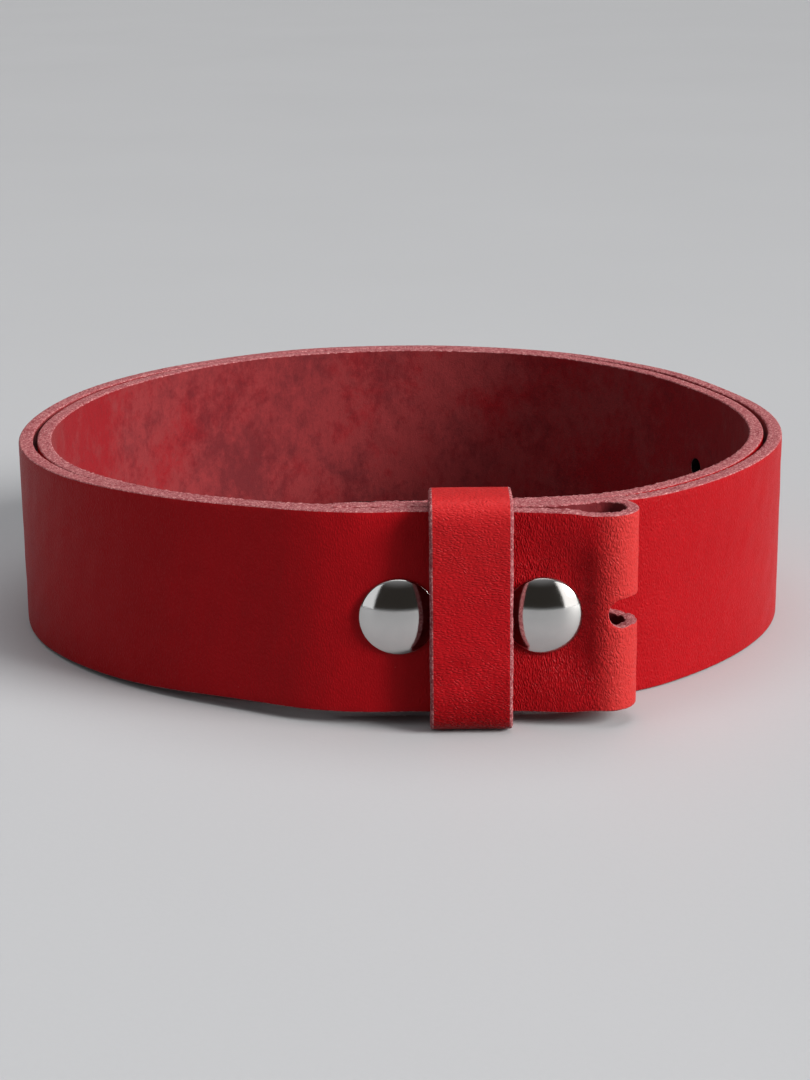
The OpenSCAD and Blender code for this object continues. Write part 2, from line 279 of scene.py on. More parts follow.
def new_material(name, paint, **constants):
    """A Principled material. Constants go on the shader's own sockets; paint gives the rest by
    socket name."""
    material = bpy.data.materials.new(name)
    material.use_nodes = True
    tree = Tree(material.node_tree)
    shader = tree.add("ShaderNodeBsdfPrincipled")
    surface = tree.add("ShaderNodeOutputMaterial")
    tree.links.new(shader.outputs["BSDF"], surface.inputs["Surface"])
    for key, value in {**constants, **paint(tree)}.items():
        tree.put(shader.inputs[key.replace("_", " ")], value)
    return material


# ---- Leather and metal ----------------------------------------------------------------------

PULLED_GRAIN_AND_HIGHLIGHT = (0.74, 0.058, 0.052)    # grain stretched over a bend, made paler also to paint the bend's highlight
EDGE_CRUMB = (0.78, 0.42, 0.41)        # loose pale fibre on a cut edge
HOLE_WALL_SHADE = (0.010, 0.004, 0.004)     # painted shade on the wall of a punched hole
METAL_SHADE = 0.72                     # a metal's cloudy places, as a share of its colour
FLOOR_BOUNCE = 0.3                     # share of the floor's colour that lights the strap


def grain_paint(looks, pebble, crease, tone, slant):
    """Grain side: slanting cells of fine pebble between soft valleys, pores, creases that lie
    across the strap, and slow clouds of deeper dye. Pebble and creases grow with the marks of
    wear; a mark of rubbing below 0 dulls the colour, which on the keeper paints shade towards its
    bottom. The stretch mark mixes in a paler pulled colour, which is partly stretched grain and
    partly painted highlight on the fold and the keeper's top."""
    def paint(tree):
        flat = tree.attribute("flat")
        worked, stretch_and_highlight, rubbed_and_shaded = tree.parts(tree.attribute("marks"))
        wandering = {"Vector": flat, "Scale": 240.0, "Detail": 2.0}
        wander = tree.add("ShaderNodeTexNoise", {}, wandering, "Color")
        bent = tree.stretch(wander, (0.0013, 0.0013, 0.0013), flat)
        turn = {"Vector": bent, "Rotation": (0.0, 0.0, math.radians(slant)),
                "Scale": (1.0, 0.42, 1.0)}
        slanting = tree.add("ShaderNodeMapping", {}, turn, "Vector")
        dome = tree.cells(slanting, 2350.0, "DISTANCE_TO_EDGE").over(0.0, 0.36)
        small = tree.cells(bent, 2700.0, "F1")
        fine = tree.noise(flat, 3800.0, 3.0, 0.6)
        swell = tree.noise(flat, 420.0, 3.0, 0.55)
        folds = tree.noise(slanting, 800.0, 3.0, 0.6)
        ridge = (1.0 - (folds - 0.5).abs() * 10.0).over(0.1, 1.0)
        creased = ridge * (0.06 + worked * 0.94) * crease
        rough_up = 0.34 + worked * 0.66
        height = dome * rough_up * pebble + fine * 0.16 + swell * 0.5 - creased * 0.7 - small * 0.14
        normal = tree.bump(height, 0.17 * MM, 0.9)
        clouds = tree.noise(flat, 34.0, 3.0, 0.55)
        mottle = tree.noise(flat, 300.0, 4.0, 0.62)
        deep = (clouds - 0.5) * 0.45 + (mottle - 0.5) * 0.35 + creased * 0.35
        deep = deep + (1.0 - dome) * rough_up * 0.26
        # Rubbing below 0 dulls the colour; on the keeper this is painted shade towards its bottom.
        dull_and_painted_shade = (0.0 - rubbed_and_shaded).math("MULTIPLY", 0.9, clamp=True)
        dark = (deep + dull_and_painted_shade).math("ADD", 0.12, clamp=True)
        colour = tree.mix(dark, looks["main"], looks["deep"])
        # Paler grain over the fold and the keeper's top: partly stretch, partly painted highlight.
        colour = tree.mix(stretch_and_highlight.math("MULTIPLY", 0.7, clamp=True), colour, looks["stretch_and_highlight"])
        specks = tree.cells(flat, 190.0, "F1").over(0.030, 0.018)
        colour = tree.mix(specks * 0.18, colour, looks["speck"])
        rough = tone + (swell - 0.5) * 0.10 + (fine - 0.5) * 0.12 + creased * 0.08
        rough = rough - rubbed_and_shaded.abs() * 0.06
        return {"Base Color": colour, "Roughness": rough, "Normal": normal}
    return paint


def flesh_paint(looks):
    """Flesh side: short suede nap in upright strokes, brownish clouds and red patches where the
    dye has soaked in, which follow the marks. The grey mark also paints shade inside the fold."""
    def paint(tree):
        flat = tree.attribute("flat")
        soaked, greyed_and_shaded, _ = tree.parts(tree.attribute("marks"))
        clouds = tree.noise(flat, 70.0, 4.0, 0.66, 0.3)
        blotting = tree.stretch(flat, (1.0, 0.7, 1.0), (3.0, 1.0, 0.0))
        blots = tree.noise(blotting, 260.0, 5.0, 0.76, 0.2)
        brushing = tree.stretch(flat, (1.0, 0.6, 1.0), (1.0, 4.0, 0.0))
        strokes = tree.noise(brushing, 1050.0, 4.0, 0.72)
        nap = tree.noise(tree.stretch(flat, (1.0, 0.9, 1.0)), 2600.0, 4.0, 0.7)
        dye = (clouds - 0.50) * 2.2 + (blots - 0.5) * 3.4 + soaked
        dye = dye.math("MULTIPLY", 1.0, clamp=True)
        grey = (blots - 0.47) * 3.6 - (clouds - 0.5) * 1.8 + greyed_and_shaded
        grey = grey.math("MULTIPLY", 1.0, clamp=True)
        colour = tree.mix(dye * 0.85, looks["flesh"], looks["stain"])
        # Mixes in brownish clouds, and painted shade inside the fold.
        colour = tree.mix(grey * 0.7, colour, looks["dark"])
        shade = (strokes - 0.47) * 2.2 + (nap - 0.5) * 1.2
        colour = tree.mix(shade.math("MULTIPLY", 0.55, clamp=True), colour, looks["dark"])
        pale = (0.42 - strokes) * 2.4 + (0.40 - nap) * 1.2
        pale = pale.math("MULTIPLY", 0.4, clamp=True) * (1.0 - dye * 0.7)
        colour = tree.mix(pale, colour, looks["nap"])
        height = nap * 0.5 + strokes * 0.6 + blots * 0.3
        rough = 0.88 + (nap - 0.5) * 0.12
        normal = tree.bump(height, 0.22 * MM, 0.8)
        return {"Base Color": colour, "Roughness": rough, "Normal": normal}
    return paint


def edge_paint(looks):
    """Cut edge: packed fibre, a salt and pepper of pale and dark specks with a few pale crumbs.
    Where the third mark is near 1 the edge is painted near black, as shade on the wall of a punched
    hole."""
    def paint(tree):
        flat = tree.attribute("flat")
        _, _, hole_shade = tree.parts(tree.attribute("marks"))
        fibre = tree.noise(flat, 1700.0, 4.0, 0.75)
        grit = tree.cells(flat, 1500.0, "F1")
        lumps = tree.noise(flat, 520.0, 3.0, 0.6)
        pale = ((fibre - 0.5) * 7.0).math("MULTIPLY", 1.0, clamp=True)
        colour = tree.mix(pale * 0.9, looks["edge"], looks["speck"])
        pits = ((0.48 - fibre) * 8.0).math("MULTIPLY", 1.0, clamp=True) * 0.7
        pits = (pits + grit.over(0.45, 0.8) * 0.45).math("ADD", (lumps - 0.5) * 1.4, clamp=True)
        colour = tree.mix(pits, colour, looks["pit"])
        crumbs = tree.cells(flat, 1900.0, "F1").over(0.36, 0.20)
        colour = tree.mix(crumbs * 0.5, colour, EDGE_CRUMB)
        # Painted shade: the walls of punched holes go near black.
        colour = tree.mix(hole_shade.over(0.6, 0.9), colour, HOLE_WALL_SHADE)
        height = fibre * 0.7 + (1.0 - grit) * 0.3 + lumps * 0.5
        rough = 0.82 + (fibre - 0.5) * 0.2
        normal = tree.bump(height, 0.3 * MM, 0.9)
        return {"Base Color": colour, "Roughness": rough, "Normal": normal}
    return paint


def metal_paint(colour, shade, rough, wear):
    """Plated metal: a polish with hair lines in two directions and faint clouds, both stronger
    with wear."""
    def paint(tree):
        place = tree.add("ShaderNodeTexCoord", {}, {}, "Object")
        clouds = tree.noise(place, 420.0, 3.0, 0.55)
        grain = tree.noise(place, 5200.0, 3.0, 0.6)
        lines = tree.noise(tree.stretch(place, (1.0, 1.0, 14.0)), 900.0, 4.0, 0.7)
        swirl = tree.noise(tree.stretch(place, (16.0, 1.0, 1.2), (5.0, 0.0, 2.0)), 700.0, 4.0, 0.7)
        fret = (lines - 0.5).abs() * 2.0 + (swirl - 0.5).abs() * 2.0
        tone = ((clouds - 0.5) * 0.9 + 0.35).math("MULTIPLY", 1.0, clamp=True) * wear
        roughness = rough + (fret * 0.10 + (clouds - 0.5) * 0.12 + (grain - 0.5) * 0.04) * wear
        normal = tree.bump(grain * 0.3 + fret * 0.4 + clouds * 0.5, 0.004 * MM, 1.0)
        plated = tree.mix(tone, colour, shade)
        return {"Base Color": plated, "Roughness": roughness, "Normal": normal}
    return paint


def leather_set(kind, looks, pebble, crease, tone, slant):
    """The flesh, cut edge and grain materials of one leather piece, in that order."""
    return [
        new_material(kind + " flesh", flesh_paint(looks), Specular_IOR_Level=0.12,
                     Sheen_Weight=0.06, Sheen_Roughness=0.5),
        new_material(kind + " cut edge", edge_paint(looks), Specular_IOR_Level=0.2),
        new_material(kind + " grain", grain_paint(looks, pebble, crease, tone, slant),
                     Specular_IOR_Level=0.12),
    ]


def leather_looks(finishes):
    """The colours that the leather materials mix."""
    return {
        "main": tuple(finishes.grain), "deep": tuple(finishes.grain_deep),
        "stretch_and_highlight": PULLED_GRAIN_AND_HIGHLIGHT, "speck": tuple(finishes.raw_speck),
        "flesh": tuple(finishes.flesh), "stain": tuple(finishes.flesh_stain),
        "dark": tuple(finishes.flesh_dark), "nap": tuple(finishes.flesh_nap),
        "edge": tuple(finishes.raw_edge), "pit": tuple(finishes.raw_pit),
    }


# ---- Shapes worked out as whole arrays ------------------------------------------------------

def smooth(t):
    """0 below 0, 1 above 1, and c squared times (3 - 2 c) between them."""
    c = np.clip(t, 0.0, 1.0)
    return c * c * (3.0 - 2.0 * c)


def ripple(x, wave, seed, y=0.0):
    """A wavy surface, mostly between -1 and 1: a quarter of the sum of eight sines of the distance
    along a direction, with waves of about the given length. Directions, lengths and phases come
    from a seeded draw, and a seed only tells one ripple from another."""
    draw = np.random.default_rng(seed)
    total = 0.0
    for _ in range(8):
        turn = draw.uniform(-1.2, 1.2)
        rate = 2.0 * np.pi / wave * draw.uniform(0.6, 1.7)
        phase = draw.uniform(0, 2 * np.pi)
        total = total + np.sin(rate * (x * np.cos(turn) + y * np.sin(turn)) + phase)
    return total / 4.0


def within(distance, reach, fade):
    """1 up to the reach, then falling smoothly to 0 over the fade, on both sides of 0."""
    return 1.0 - smooth((np.abs(distance) - reach) / fade)


def hump(x, middle, reach):
    """1 at the middle, falling as e to the minus square of the distance over the reach."""
    return np.exp(-((x - middle) / reach) ** 2)


def degrees_sin(u):
    """Sine of an angle in degrees."""
    return np.sin(np.radians(u))


def degrees_cos(u):
    """Cosine of an angle in degrees."""
    return np.cos(np.radians(u))


# Angles wound round the coil from its front, in degrees
JOIN_ANGLE = 28.0         # the front end runs into the round coil
FRONT_ANGLE = 60.0        # hinge between the front and the coil
ROOT_ANGLE = 592.0        # hinge between the coil and the tip
FIRST_SEAM = 200.0        # where one skin of the strap ends and the next begins
SECOND_SEAM = 440.0
WOUND_STEP = 0.07         # between two samples of the wound part

BEND_RADIUS = 43.5 * MM   # middle line's radius where the front bends into the coil
FRONT_FLARE = 12.0 * MM   # radii of the arcs by which front and tail swing out to the fold
TAIL_FLARE = 5.0 * MM
SAMPLE = 0.1 * MM         # between two samples of the flat and bent parts
ORIGIN_X = 0.7204 * MM    # from the middle of the whole outline to the coil's centre
ORIGIN_Y = 4.45 * MM

# Where the fold's upper and lower edges splay open, measured along X
REAR_SPLAY_FROM = 27.6 * MM   # far enough right for the keeper to slide clear of it
REAR_SPLAY_OVER = 10.4 * MM   # length over which the rear layer reaches its full splay
FRONT_SPLAY_FROM = 18.0 * MM
SPLAY_FROM = 17.0 * MM        # neither layer splays left of this
SPLAY_CORE = 7.0 * MM     # half height of the middle part, which doesn't splay
SPLAY_FADE = 11.0 * MM

# How far the strap stands above the front's plain lift
FRONT_RISE = 0.42 * MM    # left of the snaps
TAIL_RISE = 0.35 * MM     # at the folded tail's end
TURN_RISE = 0.4 * MM      # the inner turn behind the front, and the tip

HOLE_WAIST = 0.93         # a hole's wall, as a share of its rounded rim
SHANK_HOLE = 1.95 * MM
POST_HOLE = 1.55 * MM
SEAT_WALL = 0.5 * MM      # width of the soft wall round a hollow in the flesh side
STRAP_STEP = 0.65 * MM    # coarse step of the strap's grid along its length
SEAM_ZONE = (0.3 * MM, 0.25 * MM)  # reach and step of its fine rows beside a seam


def bell(t):
    """1 at 0, falling smoothly to 0 at 1 on both sides."""
    return smooth(1.0 - np.abs(t))


def wound_radius(size, u):
    """Middle line's distance from the coil's centre at u degrees: the coil's radius, with a swell
    at the left and the right and a flatter stretch at the back, less the stretch that is pressed
    in behind the fold, less a layer for each turn that lies inside another."""
    v = np.mod(u, 360.0)
    swelling = size.left_swell * bell((v - 70.0) / 42.0) - size.back_dent * bell((v - 245.0) / 50.0)
    swelling = swelling + size.right_swell * bell((v - 282.0) / 40.0)
    v = np.where(u > 540.0, u - 360.0, u)
    pressed = smooth((v - 320.0) / 33.0) * (1.0 - smooth((v - 363.0) / 37.0))
    layers = smooth((u - 363.0) / 37.0) + smooth((u - 723.0) / 37.0)
    layer = size.thickness + size.turn_gap + size.side_gap * degrees_sin(u) ** 2
    return size.coil_radius - size.thickness / 2 + swelling - size.press_in * pressed - layers * layer


def strap_line(size):
    """The strap's middle line seen from above, from the folded tail to the tip, as a table over its
    length. It is the flat tail, an arc that swings back, the fold's arc, an arc back to the front,
    the flat front, the bend, a straight run, and the wound coil. A point of an arc is its centre
    plus its radius times the sine and cosine of an angle that runs evenly along it; a point of the
    coil is the wound radius times them. Each row also tells how much the leather is thinned and
    how high its lower edge stands."""
    half = size.thickness / 2
    front_y = -(size.coil_radius + size.front_out)
    a_y = front_y + half
    b_y = a_y + size.thickness + size.layer_gap
    fold_mid = size.fold_radius - half
    fold_x = size.fold_reach - size.fold_radius
    fold_y = front_y - size.fold_bulge + size.fold_radius
    flare = math.acos(1.0 - (a_y - (fold_y - fold_mid)) / (FRONT_FLARE + fold_mid))
    flare_x = fold_x - (FRONT_FLARE + fold_mid) * math.sin(flare)
    tail_flare = math.acos(1.0 - (fold_y + fold_mid - b_y) / (TAIL_FLARE + fold_mid))
    tail_x = fold_x - (TAIL_FLARE + fold_mid) * math.sin(tail_flare)
    join = math.radians(JOIN_ANGLE)
    mid_r = size.coil_radius - half
    run = (-mid_r * math.cos(join) - a_y - BEND_RADIUS * (1.0 - math.cos(join))) / math.sin(join)
    bend_x = -mid_r * math.sin(join) + run * math.cos(join) + BEND_RADIUS * math.sin(join)
    fittings = bpy.context.scene.strap_fittings
    left_snap = size.fold_reach - fittings.snap_inset - fittings.snap_pitch
    right_snap = left_snap + fittings.snap_pitch
    tail_reach = size.tail_past - left_snap

    def share(length):
        """Even steps from 0 to just under 1."""
        return np.linspace(0.0, 1.0, int(length / SAMPLE) + 2)[:-1]

    pieces = []

    def lay(x, y, skive, lift):
        """Adds a stretch of the line: its points, its thinning and its height above the table."""
        zero = np.zeros_like(x)
        pieces.append(np.stack([x, y + zero, skive + zero, lift + zero], 1))

    def lift_at(u, place):
        """Height of the lower edge: the front's lift times one less the sine of the angle wound, a
        little more to the left of the snaps, and a small rise of the inner turn behind the front
        and of the tip."""
        more = smooth((18.0 * MM - place) / (40.0 * MM))
        more = more * FRONT_RISE * (1.0 - smooth((u - 12.0) / 45.0))
        inner = smooth((u - 325.0) / 20.0) * (1.0 - smooth((u - 400.0) / 25.0))
        inner = inner + smooth((u - 685.0) / 25.0)
        hump_here = smooth((u - 364.0) / 7.0) * (1.0 - smooth((u - 384.0) / 20.0))
        inner = inner * (1.0 + 0.8 * hump_here)
        lift = size.front_lift * (1.0 - degrees_sin(np.clip(u, 0.0, 90.0)))
        return lift + more + TURN_RISE * inner

    def facing(x, y):
        """The angle wound at a point of the front end."""
        return np.degrees(np.arctan2(-x, -y))

    t = share(tail_x + tail_reach)
    x = -tail_reach + (tail_x + tail_reach) * t
    raised = TAIL_RISE * smooth((2.0 * MM - x) / (14.0 * MM))
    lay(x, b_y, 0.0, lift_at(facing(x, a_y), x) + raised)
    t = share(TAIL_FLARE * tail_flare)
    g = t * tail_flare
    x, y = tail_x + TAIL_FLARE * np.sin(g), b_y + TAIL_FLARE * (1 - np.cos(g))
    lay(x, y, smooth(t), size.front_lift)
    sweep = math.pi + tail_flare + flare
    t = share(fold_mid * sweep)
    g = math.pi / 2 + tail_flare - sweep * t
    lay(fold_x + fold_mid * np.cos(g), fold_y + fold_mid * np.sin(g), 1.0, size.front_lift)
    t = share(FRONT_FLARE * flare)
    g = (1.0 - t) * flare
    x, y = flare_x + FRONT_FLARE * np.sin(g), a_y - FRONT_FLARE * (1 - np.cos(g))
    lay(x, y, smooth(1 - t), size.front_lift)
    t = share(flare_x - bend_x)
    x = flare_x + (bend_x - flare_x) * t
    lay(x, a_y, 0.0, lift_at(facing(x, a_y), x))
    t = share(BEND_RADIUS * join)
    x, y = bend_x - BEND_RADIUS * np.sin(t * join), a_y + BEND_RADIUS * (1 - np.cos(t * join))
    lay(x, y, 0.0, lift_at(facing(x, y), x))
    t = share(run)
    x = bend_x - BEND_RADIUS * math.sin(join) - t * run * math.cos(join)
    y = a_y + BEND_RADIUS * (1 - math.cos(join)) + t * run * math.sin(join)
    lay(x, y, 0.0, lift_at(facing(x, y), x))
    counts = [len(piece) for piece in pieces]
    before = sum(counts)
    u = np.arange(JOIN_ANGLE, math.degrees(size.tip_angle) + 0.01, WOUND_STEP)
    r = wound_radius(size, u)
    x = -r * degrees_sin(u)
    lay(x, -r * degrees_cos(u), 0.0, lift_at(u, np.where(u < 90.0, x, 1.0)))

    rows = np.concatenate(pieces)
    step = np.hypot(np.diff(rows[:, 0]), np.diff(rows[:, 1]))
    at = np.concatenate([[0.0], np.cumsum(step)])
    along = np.stack([np.gradient(rows[:, 0], at), np.gradient(rows[:, 1], at)], 1)
    along /= np.linalg.norm(along, axis=1)[:, None]
    x, y = rows[:, 0], rows[:, 1]
    rear_y, fore_y = fold_y + fold_mid, fold_y - fold_mid
    rear = b_y + (rear_y - b_y) * smooth((x - REAR_SPLAY_FROM) / REAR_SPLAY_OVER) - y
    fore = smooth((x - FRONT_SPLAY_FROM) / (fold_x - FRONT_SPLAY_FROM))
    fore = a_y + (fore_y - a_y) * fore - y
    layer = (x < fold_x) & (x > SPLAY_FROM) & (np.arange(len(x)) < sum(counts[:5]))
    splay = np.where(layer, np.where(y > fold_y, rear, fore), 0.0)
    lean = np.stack([np.gradient(x, at), np.gradient(y + splay, at)], 1)
    lean /= np.linalg.norm(lean, axis=1)[:, None]
    middle = rows[:, 3] + size.width / 2
    point = np.stack([rows[:, 0] + ORIGIN_X, rows[:, 1] + ORIGIN_Y, middle], 1)
    out = np.stack([-along[:, 1], along[:, 0], np.zeros(len(at))], 1)
    edge_out = np.stack([-lean[:, 1], lean[:, 0], np.zeros(len(at))], 1)
    tip_from = at[-1] - size.tip_point
    t = np.clip((at - tip_from) / size.tip_point, 0.0, 1.0)
    narrow = np.where(t > 0, 1.0 - np.sqrt(np.maximum(0.003, 1.0 - t * t)), 0.0)
    trim = rows[:, 2] * size.fold_trim / (size.width / 2) + narrow
    front_start = sum(counts[:4])
    turn = size.hole_pitch / float(wound_radius(size, math.degrees(size.hole_angle)))
    angles = np.degrees(size.hole_angle + np.arange(size.hole_count) * turn)
    places = np.interp(angles, u, at[before:])
    front_at = at[front_start]
    return types.SimpleNamespace(
        at=at, point=point, out=out, edge_out=edge_out, splay=splay,
        side=np.array([0.0, 0.0, 1.0]), half=half,
        skive=rows[:, 2] * (size.thickness - size.fold_thickness), trim=trim,
        front=lambda place: front_at + flare_x - place,
        tail=lambda place: place + tail_reach,
        wound=lambda angle: np.interp(angle, u, at[before:]),
        left_snap=left_snap, right_snap=right_snap, fold_mid=fold_mid, holes=places,
        fold_middle=at[sum(counts[:2])] + fold_mid * (tail_flare + math.pi / 2),
        front_y=front_y + ORIGIN_Y, middle=size.front_lift + size.width / 2)


def section(width, thickness, fine, fine_step, outer_count, grain_round, flesh_round, raw):
    """The outline across a strap, as heights from its middle and depths from its middle line,
    counted up the flesh side, over the top edge, down the grain side and over the bottom edge.
    Corners are quarter circles, and raw tells how many of the grain corner's three facets show
    the cut edge."""
    top = width / 2
    half = thickness / 2
    face_top = top - grain_round
    inner = np.arange(-fine, fine + fine_step / 2, fine_step)
    outer = np.linspace(fine, face_top, outer_count + 1)[1:]
    face = np.concatenate([-outer[::-1], inner, outer])
    turn = np.radians([0.0, 45.0, 90.0])
    flesh_z = top - flesh_round + flesh_round * np.sin(turn)
    flesh_n = -half + flesh_round - flesh_round * np.cos(turn)
    between = np.linspace(-half + flesh_round, half - grain_round, 5)[1:]
    turn = np.radians([67.5, 45.0, 22.5])
    grain_z = top - grain_round + grain_round * np.sin(turn)
    grain_n = half - grain_round + grain_round * np.cos(turn)
    edge_z = np.concatenate([flesh_z, np.full(4, top), grain_z])
    edge_n = np.concatenate([flesh_n, between, grain_n])
    z = np.concatenate([face, edge_z, face[::-1], -edge_z[::-1]])
    n = np.concatenate([np.full(len(face), -half), edge_n, np.full(len(face), half), edge_n[::-1]])
    count = len(face)
    kinds = np.zeros(len(z), int)
    edge_kinds = np.array([0, 1, 1, 1, 1, 1, 1, 1, 2, 2, 2])
    edge_kinds[8:8 + raw] = 1
    kinds[count - 1:count + 10] = edge_kinds
    kinds[count + 10:2 * count + 9] = 2
    kinds[2 * count + 9:2 * count + 20] = edge_kinds[::-1]
    return types.SimpleNamespace(z=z, n=n, kinds=kinds, face=face, count=count, grain=count + 10,
                                 top=top)


def stations(start, end, coarse, zones):
    """Places along a strap from start to end. The step is coarse, and in each zone, given as its
    middle, its reach and its own step, it shrinks smoothly to that step."""
    fine = np.linspace(start, end, int((end - start) / (0.05 * MM)) + 2)
    density = np.full(len(fine), 1.0 / coarse)
    for middle, reach, step in zones:
        near = within(fine - middle, reach, 2.0 * MM)
        density = np.maximum(density, near / step + (1.0 - near) / coarse)
    total = np.concatenate([[0.0], np.cumsum((density[1:] + density[:-1]) / 2 * np.diff(fine))])
    count = int(np.ceil(total[-1]))
    return np.interp(np.linspace(0.0, total[-1], count + 1), total, fine)


def open_hole(along, up, rows, columns, hole):
    """Moves a grid's points so that a block of cells becomes a stadium. Each point is measured from
    the hole's middle line in sides of the block; a point one side away moves onto the stadium, and
    the move dies away smoothly at 2.4 sides."""
    first, last, middle, long_radius, radius = hole
    reach_s, reach_z = 0.8 * long_radius, 0.8 * radius
    low, high = np.searchsorted(rows, first - reach_s), np.searchsorted(rows, last + reach_s) - 1
    bottom = np.searchsorted(columns, middle - reach_z)
    top = np.searchsorted(columns, middle + reach_z) - 1
    nearest = np.clip(along, first, last)
    ds, dz = along - nearest, up - middle
    sides = np.maximum.reduce([
        ds / (rows[high] - last), -ds / (first - rows[low]),
        dz / (columns[top] - middle), -dz / (middle - columns[bottom])])
    angle = np.arctan2(dz / radius, ds / long_radius)
    grown = np.maximum(sides, 1e-6)
    to_s, to_z = nearest + long_radius * grown * np.cos(angle), middle + radius * grown * np.sin(angle)
    keep = smooth((sides - 1.0) / 1.4)
    inside = (sides > 0.999)
    new_s = np.where(inside, to_s + (along - to_s) * keep, along)
    new_z = np.where(inside, to_z + (up - to_z) * keep, up)
    return new_s, new_z, (low, high, bottom, top)


def carry(line, along, up, depth):
    """Points of a strap from its own flat measures: the middle line's point, plus height along the
    strap's side, plus depth along the outward direction, with the flesh side thinned and the edges
    trimmed. The strap's upper and lower parts are splayed along Y."""
    def looked_up(table):
        return np.stack([np.interp(along, line.at, table[:, i]) for i in range(3)], -1)

    point, out, edge_out = (looked_up(table) for table in (line.point, line.out, line.edge_out))
    share = smooth((np.abs(up) - SPLAY_CORE) / SPLAY_FADE)
    point[..., 1] += share * np.interp(along, line.at, line.splay)
    out = out + (edge_out - out) * share[..., None]
    out /= np.linalg.norm(out, axis=-1)[..., None]
    skive = np.interp(along, line.at, line.skive)
    trim = np.interp(along, line.at, line.trim)
    thin = skive * (line.half - depth) / (2 * line.half)
    return point + out * (depth + thin)[..., None] + (up * (1.0 - trim))[..., None] * line.side


def make_piece(name, points, groups, materials, values=None, sharp=50.0):
    """A mesh object from points and groups of faces, each a table of point numbers with one material."""
    used = np.zeros(len(points), bool)
    for table, _ in groups:
        used[np.asarray(table).ravel()] = True
    number = np.cumsum(used) - 1
    faces, kinds = [], []
    for table, kind in groups:
        table = number[np.asarray(table)]
        faces += table.tolist()
        kinds.append(np.broadcast_to(kind, len(table)))
    mesh = bpy.data.meshes.new(name)
    mesh.from_pydata(points[used].tolist(), [], faces)
    mesh.polygons.foreach_set("material_index", np.concatenate(kinds).astype(np.int32))
    for key, table in (values or {}).items():
        layer = mesh.attributes.new(key, "FLOAT_VECTOR", "POINT")
        layer.data.foreach_set("vector", table[used].astype(np.float32).ravel())
    for material in materials:
        mesh.materials.append(material)
    mesh.shade_smooth()
    mesh.set_sharp_from_angle(angle=math.radians(sharp))
    mesh.update()
    piece = bpy.data.objects.new(name, mesh)
    bpy.context.scene.collection.objects.link(piece)
    return piece


def make_band(name, line, shape, rows, holes, press, mark, materials):
    """A closed band of leather: the section carried along the line, with holes opened in its grid,
    pressed and marked by two functions of its flat measures, walled through its holes and capped
    at both ends."""
    wide = len(shape.z)
    along = np.repeat(rows[:, None], wide, 1)
    up = np.repeat(shape.z[None, :], len(rows), 0)
    depth = np.repeat(shape.n[None, :], len(rows), 0)
    blocks = []
    for hole in holes:
        along, up, block = open_hole(along, up, rows, shape.face, hole)
        blocks.append((hole, block))
    up, depth = press(along, up, depth)
    grid = np.arange(len(rows) * wide).reshape(len(rows), wide)
    kept = np.ones((len(rows) - 1, wide), bool)
    flats = [np.stack([along.ravel(), up.ravel(), depth.ravel()], 1)]
    groups = []
    filled = grid.size
    last = shape.grain + shape.count - 1
    for (first, end, middle, _, _), (low, high, bottom, top) in blocks:
        kept[low:high, bottom:top] = False
        kept[low:high, last - top:last - bottom] = False
        i = np.concatenate([np.arange(low, high), np.full(top - bottom, high),
                            np.arange(high, low, -1), np.full(top - bottom, low)])
        c = np.concatenate([np.full(high - low, bottom), np.arange(bottom, top),
                            np.full(high - low, top), np.arange(top, bottom, -1)])
        flesh, grain = grid[i, c], grid[i, last - c]
        rim_s, rim_z = along[i, c], up[i, c]
        flesh_n, grain_n = depth[i, c], depth[i, last - c]
        near = np.clip(rim_s, first, end)
        rings = [flesh]
        thick = grain_n - flesh_n
        for inward, level in ((0.95, flesh_n + 0.1 * MM), (HOLE_WAIST, flesh_n + 0.28 * MM),
                              (HOLE_WAIST, flesh_n + thick / 2), (HOLE_WAIST, grain_n - 0.28 * MM),
                              (0.95, grain_n - 0.1 * MM)):
            rings.append(filled + np.arange(len(i)))
            filled += len(i)
            ring_s, ring_z = near + (rim_s - near) * inward, middle + (rim_z - middle) * inward
            flats.append(np.stack([ring_s, ring_z, level], 1))
        rings.append(grain)
        rings = np.array(rings)
        after = np.roll(rings, -1, 1)
        walls = np.stack([rings[:-1], after[:-1], after[1:], rings[1:]], -1)
        wall_kinds = np.repeat(np.array([0, 1, 1, 1, 1, 2]), len(i))
        groups.append((walls.reshape(-1, 4), wall_kinds))
    beside = np.roll(grid, -1, 1)
    quads = np.stack([grid[:-1], grid[1:], beside[1:], beside[:-1]], -1)
    kinds = np.broadcast_to(shape.kinds, kept.shape)
    groups.insert(0, (quads[kept], kinds[kept]))
    up_face = np.arange(shape.count)
    for ring, turned in ((grid[0], False), (grid[-1], True)):
        flesh, grain = ring[up_face], ring[last - up_face]
        caps = np.stack([flesh[:-1], flesh[1:], grain[1:], grain[:-1]], -1)
        over = ring[shape.count - 1:shape.grain + 1][None]
        under = np.concatenate([ring[last:], ring[:1]])[None]
        for table in (caps, over, under):
            groups.append((table[:, ::-1] if turned else table, 1))
    flat = np.concatenate(flats)
    points = carry(line, flat[:, 0], flat[:, 1], flat[:, 2])
    marks = mark(flat[:, 0], flat[:, 1], flat[:, 2])
    return make_piece(name, points, groups, materials, {"flat": flat, "marks": marks})


